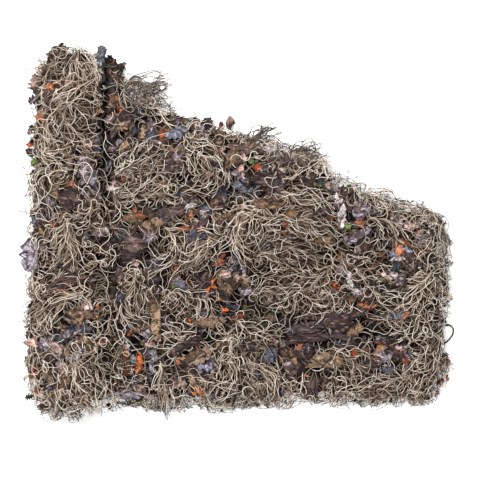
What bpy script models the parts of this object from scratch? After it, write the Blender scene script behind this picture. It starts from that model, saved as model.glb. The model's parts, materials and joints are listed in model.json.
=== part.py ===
"""Camouflage net, folded flat: knotted netting covered with yarn tufts and leaf-cut cloth.

The netting is one sheet. Its top right corner is turned under along a diagonal, and its left
side is folded over and back, so a strip of three layers stands along the left. The yarn is a
lumpy slab on each layer that shows, with locks at its rim. Leaf-cut pieces and strips of cloth
lie on the yarn. The part lies on z = 0 with its origin under the middle of its box, and every
size below is in millimetres.
"""

import math
import random

import bmesh
import bpy
from mathutils import Matrix, Vector, noise
from mathutils.bvhtree import BVHTree
from mathutils.geometry import delaunay_2d_cdt

METRES_PER_MM = 0.001
REST_GAP = 0.3            # clear space left between pieces that touch
SEED = 1917

# ---- netting -------------------------------------------------------------
NET_THICK = 2.5
RIB = 5.0                 # width of a net rib
CELLS_ACROSS, PITCH_ACROSS = 15, 55.2
CELLS_UP, PITCH_UP = 9, 56.8
NET_RIGHT = 310.0
NET_HALF_UP = (CELLS_UP * PITCH_UP + RIB) / 2
MAIN_MID = 5.75           # height of the spread layer's middle plane
TURN_X = -290.0           # where the spread layer turns up at the left
TURN_R = 21.0             # first turn, round the yarn inside the fold
BACK_RUN = 68.0           # run of the middle layer, back to the right
CREASE_R = 4.0            # second turn, bare netting against netting
HEM_START = Vector((-269.0, 258.0))    # the diagonal crease, top left to right
HEM_END = Vector((310.0, -31.5))
HEM_R = (MAIN_MID - NET_THICK / 2) / 2
HEM_Z = MAIN_MID - HEM_R
TURN_STEPS, CREASE_STEPS, HEM_STEPS = 5, 2, 2

TURN_RUN = NET_RIGHT - TURN_X
TURN_ARC = math.pi * TURN_R
CREASE_ARC = math.pi * CREASE_R
HEM_ARC = math.pi * HEM_R
BACK_MID = MAIN_MID + 2 * TURN_R
TOP_MID = BACK_MID + 2 * CREASE_R

# ---- yarn slabs ----------------------------------------------------------
MAIN_BOTTOM = MAIN_MID + NET_THICK / 2 + REST_GAP
STRIP_BOTTOM = TOP_MID + NET_THICK / 2 + REST_GAP
UNDER_STRIP_TOP = BACK_MID - NET_THICK / 2 - REST_GAP
STRIP_EDGE_X = -213.0     # right of this the main slab is free to rise

# Rim of each slab, counter-clockwise: x, y
MAIN_RIM = (
    (-282, -270), (-225, -276), (-160, -265), (-128, -274), (-107, -284), (-88, -275), (-58, -265),
    (-19, -279), (8, -268), (92, -268), (125, -262), (148, -264), (165, -273), (184, -263),
    (245, -262), (298, -263), (314, -261), (322, -245), (329, -200), (324, -130), (329, -85),
    (324, -30), (328, 0), (322, 14), (285, 36), (240, 50), (205, 66), (168, 78), (146, 116),
    (92, 122), (52, 143), (-5, 156), (-40, 171), (-92, 178), (-104, 208), (-132, 230), (-205, 250),
    (-235, 267), (-282, 268),
)
STRIP_RIM = (
    (-308, -276), (-285, -284), (-228, -280), (-219, -255), (-217, -160), (-220, -60), (-217, 40),
    (-219, 150), (-217, 225), (-218, 268), (-236, 283), (-262, 288), (-300, 284), (-312, 262),
    (-315, 236), (-320, 205), (-324, 160), (-326, 95), (-329, 20), (-327, -60), (-331, -140),
    (-324, -205), (-318, -252),
)

# Yarn tufts that show, from root to tip: x0, y0, x1, y1, width, rise
STRIP_TUFTS = (
    (-250, 280, -245, 238, 50, 14), (-228, 232, -290, 206, 42, 15), (-298, 172, -262, 195, 40, 12),
    (-262, 192, -214, 162, 40, 15), (-300, 158, -296, 116, 38, 11), (-268, 92, -316, 84, 30, 10),
    (-262, 14, -264, -52, 52, 17), (-322, -72, -316, -128, 28, 10), (-245, -100, -324, -152, 34, 16),
    (-250, -196, -246, -272, 34, 14), (-282, -226, -280, -272, 42, 11), (-290, 40, -270, 54, 44, 8),
    (-226, -126, -250, -132, 30, 8), (-296, -190, -310, -206, 30, 9),
)
MAIN_TUFTS = (
    (-160, -62, -165, -148, 50, 16), (-120, 8, -112, -48, 30, 12), (-104, -14, -22, -46, 46, 15),
    (-112, -108, -62, -142, 46, 11), (-120, -205, -102, -266, 34, 13), (-42, -238, -18, -268, 36, 9),
    (-8, -156, -10, -262, 34, 12), (-182, 226, -112, 226, 36, 12), (-184, 100, -134, 122, 40, 10),
    (-184, 62, -108, 82, 44, 11), (-78, 145, -44, 78, 56, 14), (-193, 58, -193, 18, 26, 6),
    (8, 40, 2, -16, 34, 12), (34, 6, 120, -8, 56, 15), (34, -52, 138, -72, 66, 16),
    (36, -108, 138, -112, 50, 14), (98, 14, 142, -10, 36, 9), (162, -56, 224, -62, 38, 10),
    (204, -100, 254, -104, 38, 7), (316, -70, 236, -146, 52, 15), (210, -150, 286, -160, 36, 9),
    (318, -172, 276, -244, 50, 14), (268, -252, 318, -250, 34, 8), (118, -238, 262, -252, 44, 12),
    (8, -146, 26, -166, 34, 9), (18, -206, 78, -262, 56, 12), (306, 14, 318, -38, 46, 12),
    (206, 50, 282, 24, 32, 12), (152, 80, 218, 62, 28, 10), (64, 112, 134, 104, 38, 12),
    (4, 142, 44, 132, 34, 8), (66, 54, 142, 44, 34, 9), (214, 10, 276, 4, 30, 7),
    (-198, -122, -202, -180, 30, 9), (-190, -226, -196, -258, 44, 12), (-60, -196, -30, -208, 50, 8),
    (124, -150, 176, -138, 46, 8), (-20, 92, -12, 128, 44, 8), (232, -18, 284, -34, 44, 8),
)

# Slab sizes: height of the rim wall, height of the flat middle, point spacing, rim point spacing
MAIN_WALL, MAIN_CROWN, MAIN_STEP, MAIN_RIM_STEP = 8.0, 27.0, 23.0, 11.6
STRIP_WALL, STRIP_CROWN, STRIP_STEP, STRIP_RIM_STEP = 8.0, 19.0, 19.0, 12.0
SHOULDER = 20.0           # distance from the rim over which a slab rises
ROUGHNESS = 3.0

# Locks of yarn at a slab's rim: reach at the slab's sides, and how it varies
LOCK_SHORT, LOCK_LONG = 10.0, 23.0
LOCK_SKIP = ((318.0, 340.0), (-190.0, -146.0))     # x and y range left free for the cord

# Leaf-cut cloth: kind, x, y, length, width, turn in degrees, colour
LEAVES = (
    ("oak", -265, 50, 54, 42, 70, "bark"), ("oak", -284, 232, 42, 25, 20, "rust"),
    ("star", -236, 133, 30, 24, 0, "salmon"), ("rag", -238, 96, 34, 24, 40, "lilac"),
    ("oak", -309, -2, 32, 20, 80, "bark"), ("rag", -238, -131, 56, 16, -8, "tan"),
    ("oak", -300, -176, 32, 28, 30, "lilac"), ("oak", -240, -222, 42, 30, 80, "bark"),
    ("oak", -284, -236, 32, 28, -30, "tan"), ("oak", -165, -25, 52, 42, 70, "bark"),
    ("oak", -164, 22, 40, 26, 10, "tan"), ("oak", -95, 158, 42, 28, 20, "grey"),
    ("rag", -178, 168, 32, 18, 15, "tan"), ("oak", -105, 32, 52, 27, 8, "bark"),
    ("rag", -72, 4, 52, 15, 0, "rust"), ("rag", -20, 22, 46, 18, 15, "tan"),
    ("star", -45, -85, 36, 30, 0, "orange"), ("oak", -42, -143, 62, 26, 5, "tan"),
    ("oak", -156, -208, 40, 18, 85, "orange"), ("oak", -60, -198, 50, 34, 20, "tan"),
    ("star", -60, -252, 32, 28, 0, "orange"), ("rag", 50, 86, 60, 32, 10, "bark"),
    ("oak", 112, 80, 34, 28, 40, "bark"), ("rag", 50, 45, 58, 24, 0, "tan"),
    ("oak", 166, 25, 42, 19, 85, "white"), ("rag", 196, 34, 36, 34, 60, "lilac"),
    ("rag", 194, -6, 52, 17, 32, "lilac"), ("oak", 278, 10, 30, 20, 0, "salmon"),
    ("oak", 260, -33, 42, 25, 10, "grey"), ("star", 292, -30, 26, 24, 0, "orange"),
    ("oak", 244, -70, 32, 18, -10, "white"), ("rag", 150, -140, 78, 38, -12, "bark"),
    ("rag", 248, -133, 48, 18, 5, "grey"), ("oak", 230, -200, 42, 26, 20, "lilac"),
    ("oak", 50, -197, 42, 30, 30, "grey"), ("rag", 4, 132, 40, 20, -20, "bark"),
    ("oak", 136, 30, 32, 20, 20, "bark"), ("rag", 140, -14, 38, 15, 0, "tan"),
)
# Garnish strips, one straight edge and one cut edge: x, y, length, width, turn, colour
STRIPS = (
    (-327, -39, 58, 34, 92, "lilac"), (-130, -136, 82, 18, 92, "tan"),
    (-80, -178, 58, 18, 32, "bark"), (110, -168, 74, 18, 5, "bark"), (136, -202, 66, 30, 0, "tan"),
)
LEAF_THICK = 1.0
LEAF_GAP = 0.4
LEAF_CURL = 0.006         # rise of an edge, per square millimetre from the midrib
LEAF_TILT = 0.45          # steepest slope that a piece of cloth takes

COLOURS = {
    "yarn": (0.30, 0.26, 0.19), "net": (0.035, 0.04, 0.025), "cord": (0.03, 0.06, 0.035),
    "bark": (0.10, 0.07, 0.065), "tan": (0.30, 0.20, 0.13), "rust": (0.33, 0.10, 0.04),
    "orange": (0.62, 0.16, 0.03), "salmon": (0.50, 0.30, 0.24), "lilac": (0.42, 0.38, 0.45),
    "grey": (0.30, 0.33, 0.40), "white": (0.66, 0.64, 0.66),
}

# ---- cord loop at the right rim ------------------------------------------
CORD_D = 3.0
CORD_ROUTE = (
    (NET_RIGHT + 0.35, -156, 5.4), (320, -155, 5.3), (327, -153.5, 4.9), (335, -151, 3.6), (343, -151, 2.3),
    (348, -156, 1.8), (348, -164, 1.7), (344, -171, 1.7), (338, -177.5, 2.6), (331, -181, 3.9),
    (325, -182, 5.0), (318, -182.2, 5.3), (NET_RIGHT + 0.35, -182, 5.4),
)
CORD_STEPS = 2            # points read from the curve for each stretch of the route


def clear_scene():
    for obj in list(bpy.data.objects):
        bpy.data.objects.remove(obj, do_unlink=True)


def material(name):
    made = bpy.data.materials.get(name)
    if made is None:
        made = bpy.data.materials.new(name)
        made.use_nodes = True
        shader = made.node_tree.nodes["Principled BSDF"]
        shader.inputs["Base Color"].default_value = (*COLOURS[name], 1.0)
        shader.inputs["Roughness"].default_value = 0.85
        shader.inputs["Metallic"].default_value = 0.0
        made.diffuse_color = (*COLOURS[name], 1.0)
    return made


def add_solid(name, points, faces, colour):
    """A mesh object from points in millimetres, with its faces turned outwards."""
    mesh = bpy.data.meshes.new(name)
    bm = bmesh.new()
    verts = [bm.verts.new(Vector(p) * METRES_PER_MM) for p in points]
    for face in faces:
        bm.faces.new([verts[i] for i in face])
    bmesh.ops.recalc_face_normals(bm, faces=bm.faces)
    bm.to_mesh(mesh)
    bm.free()
    mesh.materials.append(material(colour))
    obj = bpy.data.objects.new(name, mesh)
    bpy.context.scene.collection.objects.link(obj)
    return obj


# ---- netting -------------------------------------------------------------
def hem_frame():
    along = (HEM_END - HEM_START).normalized()
    return along, Vector((-along.y, along.x))


def folded(s, up, w):
    """Where a point of the flat sheet lies: s from the right edge, up from the middle line,
    and w above the sheet's middle plane, on the side that carries the yarn."""
    if s <= TURN_RUN:
        flat = Vector((NET_RIGHT - s, up))
        _, outward = hem_frame()
        past = (flat - HEM_START).dot(outward)
        if past <= 0:
            return Vector((flat.x, flat.y, MAIN_MID + w))
        crease = flat - past * outward
        angle = min(past / HEM_R, math.pi)
        reach = (HEM_R + w) * math.sin(angle) - max(0.0, past - HEM_ARC)
        spot = crease + reach * outward
        return Vector((spot.x, spot.y, HEM_Z + (HEM_R + w) * math.cos(angle)))
    s -= TURN_RUN
    if s <= TURN_ARC:
        angle = s / TURN_R
        r = TURN_R - w
        return Vector((TURN_X - r * math.sin(angle), up, MAIN_MID + TURN_R - r * math.cos(angle)))
    s -= TURN_ARC
    if s <= BACK_RUN:
        return Vector((TURN_X + s, up, BACK_MID - w))
    s -= BACK_RUN
    crease_x = TURN_X + BACK_RUN
    if s <= CREASE_ARC:
        angle = s / CREASE_R
        r = CREASE_R + w
        return Vector((crease_x + r * math.sin(angle), up, BACK_MID + CREASE_R - r * math.cos(angle)))
    return Vector((crease_x - (s - CREASE_ARC), up, TOP_MID + w))


def add_net():
    """The sheet is laid out flat with its gaps cut, creased where it bends, then folded."""
    across = [k * PITCH_ACROSS + e for k in range(CELLS_ACROSS + 1) for e in (0.0, RIB)]
    upward = [k * PITCH_UP + e - NET_HALF_UP for k in range(CELLS_UP + 1) for e in (0.0, RIB)]
    bm = bmesh.new()
    layers = []
    for w in (-NET_THICK / 2, NET_THICK / 2):
        layers.append([[bm.verts.new((s, y, w)) for y in upward] for s in across])

    def cloth(i, j):
        inside = 0 <= i < len(across) - 1 and 0 <= j < len(upward) - 1
        return inside and not (i % 2 == 1 and j % 2 == 1)

    low, high = layers
    for i in range(len(across) - 1):
        for j in range(len(upward) - 1):
            if not cloth(i, j):
                continue
            ring = ((i, j), (i + 1, j), (i + 1, j + 1), (i, j + 1))
            bm.faces.new([high[a][b] for a, b in ring])
            bm.faces.new([low[a][b] for a, b in reversed(ring)])
            beyond = ((i, j - 1), (i + 1, j), (i, j + 1), (i - 1, j))
            for k, cell in enumerate(beyond):
                if not cloth(*cell):
                    (a, b), (c, d) = ring[k], ring[(k + 1) % 4]
                    bm.faces.new((high[c][d], high[a][b], low[a][b], low[c][d]))

    creases = [(Vector((TURN_RUN + TURN_ARC * k / TURN_STEPS, 0, 0)), Vector((1, 0, 0)))
               for k in range(TURN_STEPS + 1)]
    second = TURN_RUN + TURN_ARC + BACK_RUN
    creases += [(Vector((second + CREASE_ARC * k / CREASE_STEPS, 0, 0)), Vector((1, 0, 0)))
                for k in range(CREASE_STEPS + 1)]
    _, outward = hem_frame()
    hem_normal = Vector((-outward.x, outward.y, 0))
    start = Vector((NET_RIGHT - HEM_START.x, HEM_START.y, 0))
    creases += [(start + hem_normal * (HEM_ARC * k / HEM_STEPS), hem_normal)
                for k in range(HEM_STEPS + 1)]
    for spot, normal in creases:
        parts = bm.verts[:] + bm.edges[:] + bm.faces[:]
        bmesh.ops.bisect_plane(bm, geom=parts, plane_co=spot, plane_no=normal, dist=0.001)
    for vert in bm.verts:
        vert.co = folded(*vert.co) * METRES_PER_MM
    bmesh.ops.triangulate(bm, faces=bm.faces)
    bmesh.ops.recalc_face_normals(bm, faces=bm.faces)
    mesh = bpy.data.meshes.new("net")
    bm.to_mesh(mesh)
    bm.free()
    mesh.materials.append(material("net"))
    obj = bpy.data.objects.new("net", mesh)
    bpy.context.scene.collection.objects.link(obj)


# ---- yarn slabs ----------------------------------------------------------
def along_rim(corners, step, rng):
    """Points at even steps along a closed outline, each moved a little in or out."""
    ring = [Vector(c) for c in corners]
    total = sum((ring[(i + 1) % len(ring)] - p).length for i, p in enumerate(ring))
    count = round(total / step)
    points = []
    for k in range(count):
        left = total * k / count
        for i, p in enumerate(ring):
            side = ring[(i + 1) % len(ring)] - p
            if left <= side.length:
                points.append(p + side.normalized() * left)
                break
            left -= side.length
    for p in points:
        p += Vector((rng.uniform(-1.6, 1.6), rng.uniform(-1.6, 1.6)))
    return points


def rim_distance(spot, ring):
    """How far a spot lies inside the closed outline: negative outside it."""
    inside = False
    near = math.inf
    for i, a in enumerate(ring):
        b = ring[(i + 1) % len(ring)]
        side = b - a
        t = min(1.0, max(0.0, (spot - a).dot(side) / side.length_squared))
        near = min(near, (spot - a - t * side).length)
        if (a.y > spot.y) != (b.y > spot.y):
            if spot.x < a.x + (spot.y - a.y) / (b.y - a.y) * side.x:
                inside = not inside
    return near if inside else -near


def tuft_rise(spot, tufts):
    """Height that the tufts add at a spot: each is a ridge with round ends."""
    rise = 0.0
    for x0, y0, x1, y1, width, height in tufts:
        root, side = Vector((x0, y0)), Vector((x1 - x0, y1 - y0))
        t = min(1.0, max(0.0, (spot - root).dot(side) / side.length_squared))
        away = (spot - root - t * side).length / (0.5 * width)
        rise = max(rise, height * math.exp(-away * away))
    return rise


def slab_top(spot, depth, bottom, wall, crown, tufts):
    """Top of the yarn at a spot that lies depth inside the rim."""
    full = 1.0 - math.exp(-depth / SHOULDER)
    rough = ROUGHNESS * noise.noise(Vector((spot.x / 31, spot.y / 31, bottom)))
    return bottom + wall + full * (crown - wall + tuft_rise(spot, tufts) + rough)


def main_top(spot, depth):
    z = slab_top(spot, depth, MAIN_BOTTOM, MAIN_WALL, MAIN_CROWN + 9.0, MAIN_TUFTS)
    if spot.x < STRIP_EDGE_X:
        return min(z, UNDER_STRIP_TOP)
    dip = min(1.0, (spot.x - STRIP_EDGE_X) / 22.0)
    return min(z, UNDER_STRIP_TOP - 3.0 + dip * 26.0)


def strip_top(spot, depth):
    return slab_top(spot, depth, STRIP_BOTTOM, STRIP_WALL, STRIP_CROWN, STRIP_TUFTS)


def hex_points(ring, step, rng):
    """A staggered grid of spots inside the outline, away from its rim."""
    lo = [min(p[k] for p in ring) for k in (0, 1)]
    hi = [max(p[k] for p in ring) for k in (0, 1)]
    points = []
    row_height = step * math.sqrt(3) / 2
    for row in range(int((hi[1] - lo[1]) / row_height) + 1):
        for column in range(int((hi[0] - lo[0]) / step) + 1):
            spot = Vector((lo[0] + (column + 0.5 * (row % 2)) * step, lo[1] + row * row_height))
            spot += Vector((rng.uniform(-0.14, 0.14), rng.uniform(-0.14, 0.14))) * step
            if rim_distance(spot, ring) > 0.55 * step:
                points.append(spot)
    return points


def triangles(points, ring_size):
    """Triangles of a flat outline, the first ring_size points, with spots inside it."""
    ring = list(range(ring_size))
    edges = [(i, (i + 1) % ring_size) for i in ring]
    made = delaunay_2d_cdt(points, edges, [ring], 1, 1e-5)
    origin = [sources[0] for sources in made[3]]
    return [[origin[i] for i in face] for face in made[2]]


def lock_wanted(spot, main):
    """Locks stay clear of the fold at the left and of the cord."""
    if main and spot.x < TURN_X + 12 and abs(spot.y) < NET_HALF_UP + 8:
        return False
    (x0, x1), (y0, y1) = LOCK_SKIP
    return not (main and x0 < spot.x < x1 and y0 < spot.y < y1)


def lock_shape(spot, main, rng):
    """Reach of a lock, and the heights of its middle and tip above the floor."""
    reach = rng.uniform(LOCK_SHORT, LOCK_LONG)
    if main:
        return reach, 0.0, 0.0, 4.0
    if spot.x > STRIP_EDGE_X - 12:
        return 0.42 * reach, STRIP_BOTTOM - 2.5, STRIP_BOTTOM - 4.0, 4.5
    return 0.85 * reach, STRIP_BOTTOM - 9.0, STRIP_BOTTOM - 24.0, 4.5


def add_slab(name, corners, bottom, top_of, step, rim_step, main):
    rng = random.Random(SEED)
    ring = along_rim(corners, rim_step, rng)
    n = len(ring)
    inner = hex_points(ring, step, rng)
    flat = ring + inner
    top = [(*p, top_of(p, max(0.0, rim_distance(p, ring)) if i >= n else 0.0))
           for i, p in enumerate(flat)]
    base = [(*p, bottom) for p in ring]
    points = top + base
    faces = triangles(flat, n)
    base_at = len(top)
    faces += [[base_at + i for i in reversed(f)] for f in triangles(ring, n)]
    for i in range(n):
        j = (i + 1) % n
        root = [base_at + i, base_at + j, j, i]
        a, b = ring[i], ring[j]
        side = b - a
        outward = Vector((side.y, -side.x)).normalized()
        middle = (a + b) / 2
        if not lock_wanted(middle, main):
            faces.append(root)
            continue
        reach, mid_z, tip_z, mid_high = lock_shape(middle, main, rng)
        lean = rng.uniform(-0.16, 0.16) * side
        half = 0.24 * side
        mid = middle + outward * (0.5 * reach) + lean
        tip = middle + outward * reach + 2.2 * lean
        start = len(points)
        points += [(*(mid - half), mid_z), (*(mid + half), mid_z),
                   (*(mid + half), mid_z + mid_high), (*(mid - half), mid_z + mid_high),
                   (*tip, tip_z)]
        for k in range(4):
            m = (k + 1) % 4
            faces.append([root[k], root[m], start + m, start + k])
            faces.append([start + k, start + m, start + 4])
    return add_solid(name, points, faces, "yarn")


# ---- cloth pieces --------------------------------------------------------
def leaf_outline(kind, length, width, rng):
    """Closed outline round the origin, its long way along x."""
    if kind == "star":
        count = 20
        spin = rng.uniform(0, math.tau)
        ring = []
        for k in range(count):
            angle = math.tau * k / count
            r = 0.5 * (0.66 + 0.34 * math.cos(5 * angle + spin)) * rng.uniform(0.9, 1.1)
            ring.append(Vector((length * r * math.cos(angle), width * r * math.sin(angle))))
        return ring
    steps = 9
    half = []
    for k in range(1, steps):
        t = k / steps
        if kind == "oak":
            swell = math.sin(math.pi * t) ** 0.6 * (1.0 if k % 2 else 0.58)
        else:
            swell = (0.95 if k % 2 else 0.66) * min(1.0, 5 * t, 5 * (1 - t))
        half.append((t, 0.5 * width * swell * rng.uniform(0.85, 1.1)))
    lower = [Vector((length * (t - 0.5), -y)) for t, y in half]
    if kind == "strip":
        lower = [Vector((length * (t - 0.5), -0.5 * width)) for t in (0.02, 0.5, 0.98)]
    other = [(t, 0.5 * width * rng.uniform(0.75, 1.05) * (y / (0.5 * width))) for t, y in half]
    upper = [Vector((length * (t - 0.5), y)) for t, y in reversed(other)]
    return [Vector((-0.5 * length, 0))] + lower + [Vector((0.5 * length, 0))] + upper


def height_below(trees, spot):
    """Highest surface under a spot among the pieces already placed."""
    best = -math.inf
    start = Vector((spot.x, spot.y, 400.0)) * METRES_PER_MM
    for tree in trees:
        hit = tree.ray_cast(start, Vector((0, 0, -1)))[0]
        if hit is not None:
            best = max(best, hit.z / METRES_PER_MM)
    return best


def seat_leaf(name, kind, x, y, length, width, turn, colour, trees):
    """A thin plate, curled and tilted with the yarn, laid on the highest thing under it."""
    rng = random.Random(f"{SEED} {name}")
    outline = leaf_outline(kind, length, width, rng)
    midrib = [] if kind == "strip" else [Vector((length * t, 0)) for t in (-0.25, 0.0, 0.25)]
    flat = outline + midrib
    tri = triangles(flat, len(outline))
    spin = Matrix.Rotation(math.radians(turn), 2)
    placed = [Vector((x, y)) + spin @ p for p in flat]
    reach = 0.36 * length
    probes = {k: height_below(trees, Vector((x, y)) + Vector(d) * reach)
              for k, d in {"e": (1, 0), "w": (-1, 0), "n": (0, 1), "s": (0, -1)}.items()}
    slope = []
    for a, b in (("e", "w"), ("n", "s")):
        ends = probes[a] - probes[b]
        steep = ends / (2 * reach) if math.isfinite(ends) else 0.0
        slope.append(max(-LEAF_TILT, min(LEAF_TILT, steep)))
    local = [slope[0] * (p.x - x) + slope[1] * (p.y - y) + LEAF_CURL * q.y * q.y
             for p, q in zip(placed, flat)]
    lift = -math.inf
    for face in tri:
        a, b, c = (Vector((*placed[i], local[i])) for i in face)
        cuts = max(2, math.ceil(max((a - b).length, (b - c).length, (c - a).length) / 3.0))
        for i in range(cuts + 1):
            for j in range(cuts + 1 - i):
                p = a + (b - a) * (i / cuts) + (c - a) * (j / cuts)
                lift = max(lift, height_below(trees, p) - p.z)
    lift += LEAF_GAP
    n = len(flat)
    points = [(*p, z + lift) for p, z in zip(placed, local)]
    points += [(*p, z + lift + LEAF_THICK) for p, z in zip(placed, local)]
    faces = [list(reversed(f)) for f in tri] + [[i + n for i in f] for f in tri]
    rim = len(outline)
    faces += [[i, (i + 1) % rim, (i + 1) % rim + n, i + n] for i in range(rim)]
    obj = add_solid(name, points, faces, colour)
    trees.append(tree_of(obj))


def tree_of(obj):
    points = [v.co.copy() for v in obj.data.vertices]
    return BVHTree.FromPolygons(points, [tuple(p.vertices) for p in obj.data.polygons])


# ---- cord ----------------------------------------------------------------
def smooth_route(route, steps):
    """Points of a Catmull-Rom curve through the route."""
    spots = [Vector(p) for p in route]
    spots = [2 * spots[0] - spots[1]] + spots + [2 * spots[-1] - spots[-2]]
    points = []
    for i in range(1, len(spots) - 2):
        before, a, b, after = spots[i - 1:i + 3]
        for k in range(steps):
            t = k / steps
            points.append(0.5 * (2 * a + (b - before) * t
                                 + (2 * before - 5 * a + 4 * b - after) * t * t
                                 + (3 * a - 3 * b + after - before) * t * t * t))
    return points + [spots[-2]]


def add_cord():
    route = smooth_route(CORD_ROUTE, CORD_STEPS)
    curve = bpy.data.curves.new("edge_loop", "CURVE")
    curve.dimensions = "3D"
    curve.bevel_depth = CORD_D / 2 * METRES_PER_MM
    curve.bevel_resolution = 2
    curve.use_fill_caps = True
    spline = curve.splines.new("POLY")
    spline.points.add(len(route) - 1)
    for point, spot in zip(spline.points, route):
        point.co = (*(spot * METRES_PER_MM), 1.0)
    curve.materials.append(material("cord"))
    bpy.context.scene.collection.objects.link(bpy.data.objects.new("edge_loop", curve))


def main():
    clear_scene()
    add_net()
    slabs = [
        add_slab("tufts_main", MAIN_RIM, MAIN_BOTTOM, main_top, MAIN_STEP, MAIN_RIM_STEP, True),
        add_slab("tufts_strip", STRIP_RIM, STRIP_BOTTOM, strip_top, STRIP_STEP, STRIP_RIM_STEP,
                 False),
    ]
    trees = [tree_of(slab) for slab in slabs]
    for k, leaf in enumerate(LEAVES):
        seat_leaf(f"leaf_{k + 1:02d}", *leaf, trees)
    for k, strip in enumerate(STRIPS):
        seat_leaf(f"strip_{k + 1}", "strip", *strip, trees)
    add_cord()


main()
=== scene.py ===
import json
import math

import bpy
import numpy as np
from bpy.props import FloatProperty, FloatVectorProperty, IntProperty, PointerProperty
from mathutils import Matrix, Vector, noise
from mathutils.bvhtree import BVHTree
from mathutils.geometry import delaunay_2d_cdt


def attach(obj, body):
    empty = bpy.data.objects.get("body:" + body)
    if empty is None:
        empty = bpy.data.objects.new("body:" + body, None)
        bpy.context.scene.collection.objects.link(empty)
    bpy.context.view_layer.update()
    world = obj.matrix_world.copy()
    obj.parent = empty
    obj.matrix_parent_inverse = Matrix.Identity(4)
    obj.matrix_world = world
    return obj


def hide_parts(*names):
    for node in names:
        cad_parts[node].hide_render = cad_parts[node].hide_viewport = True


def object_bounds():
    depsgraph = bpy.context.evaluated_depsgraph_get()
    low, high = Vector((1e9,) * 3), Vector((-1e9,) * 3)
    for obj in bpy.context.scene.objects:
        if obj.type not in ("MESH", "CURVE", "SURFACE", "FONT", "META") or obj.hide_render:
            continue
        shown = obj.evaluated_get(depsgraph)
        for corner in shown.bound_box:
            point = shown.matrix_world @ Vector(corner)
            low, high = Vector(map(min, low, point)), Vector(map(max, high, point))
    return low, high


bl_info = {
    "name": "Camouflage net",
    "version": (1, 0, 0),
    "blender": (4, 5, 0),
    "location": "3D View > Sidebar > Net",
    "description": "Yarn tufts, leaf-cut cloth and knotted netting of a folded camouflage net",
    "category": "Object",
}

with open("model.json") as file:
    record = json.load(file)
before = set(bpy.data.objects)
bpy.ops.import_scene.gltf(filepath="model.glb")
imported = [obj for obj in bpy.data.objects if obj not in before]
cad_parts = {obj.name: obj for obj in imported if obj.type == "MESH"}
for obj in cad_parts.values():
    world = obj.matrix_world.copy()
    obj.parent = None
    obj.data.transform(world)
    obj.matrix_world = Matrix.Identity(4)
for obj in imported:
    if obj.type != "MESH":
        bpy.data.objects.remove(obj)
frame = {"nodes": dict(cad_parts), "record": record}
CAD_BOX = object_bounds()

MM = 0.001                # the tables below are in millimetres, the meshes in metres
BODY = "root"
SEED = 4051
CAD_LOW = np.array(CAD_BOX[0][:2]) / MM      # x and y of the box's corners
CAD_HIGH = np.array(CAD_BOX[1][:2]) / MM
FAR = 400.0               # past either side of the part
TOP_Z = 99.0              # nothing stands higher than this
REST_GAP = 0.2            # least clear space over the floor

# ---- netting: the same fold as its solid ---------------------------------
NET_RIGHT, NET_HALF_UP, NET_LENGTH = 310.0, 258.1, 833.0
MAIN_MID, TURN_X, TURN_R = 5.75, -290.0, 21.0
BACK_RUN, CREASE_R = 68.0, 4.0
HEM_START, HEM_END, HEM_R = Vector((-269.0, 258.0)), Vector((310.0, -31.5)), 2.25
HEM_Z = MAIN_MID - HEM_R
TWINE_R, TWINE_SIDES = 1.1, 4
MESH_PITCH = 28.0         # side of one square
KNOT_SHARE = 1.9          # a knot's radius over its twine's
TWINE_CUTS = 4            # points along each side of a square
KNOT_GAP = 0.1            # the lowest knots clear the floor by this
TWINE_DYE, CORD_DYE = (0.03, 0.036, 0.022), (0.02, 0.045, 0.025)
TURN_RUN = NET_RIGHT - TURN_X
BACK_MID = MAIN_MID + 2 * TURN_R
TOP_MID = BACK_MID + 2 * CREASE_R
STRIP_EDGE = -213.0       # the raised strip ends here, and the spread layer goes on under it
MAIN_UNDER = 12           # the spread layer's own tufts reach this far under the strip

# ---- cord loop, the same route as its solid ------------------------------
CORD_D, CORD_SIDES, CORD_POINTS = 3.0, 10, 60
CORD_ROUTE = (
    (310.35, -156, 5.4), (320, -155, 5.3), (327, -153.5, 4.9), (335, -151, 3.6), (343, -151, 2.3),
    (348, -156, 1.8), (348, -164, 1.7), (344, -171, 1.7), (338, -177.5, 2.6), (331, -181, 3.9),
    (325, -182, 5.0), (318, -182.2, 5.3), (310.35, -182, 5.4),
)

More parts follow.
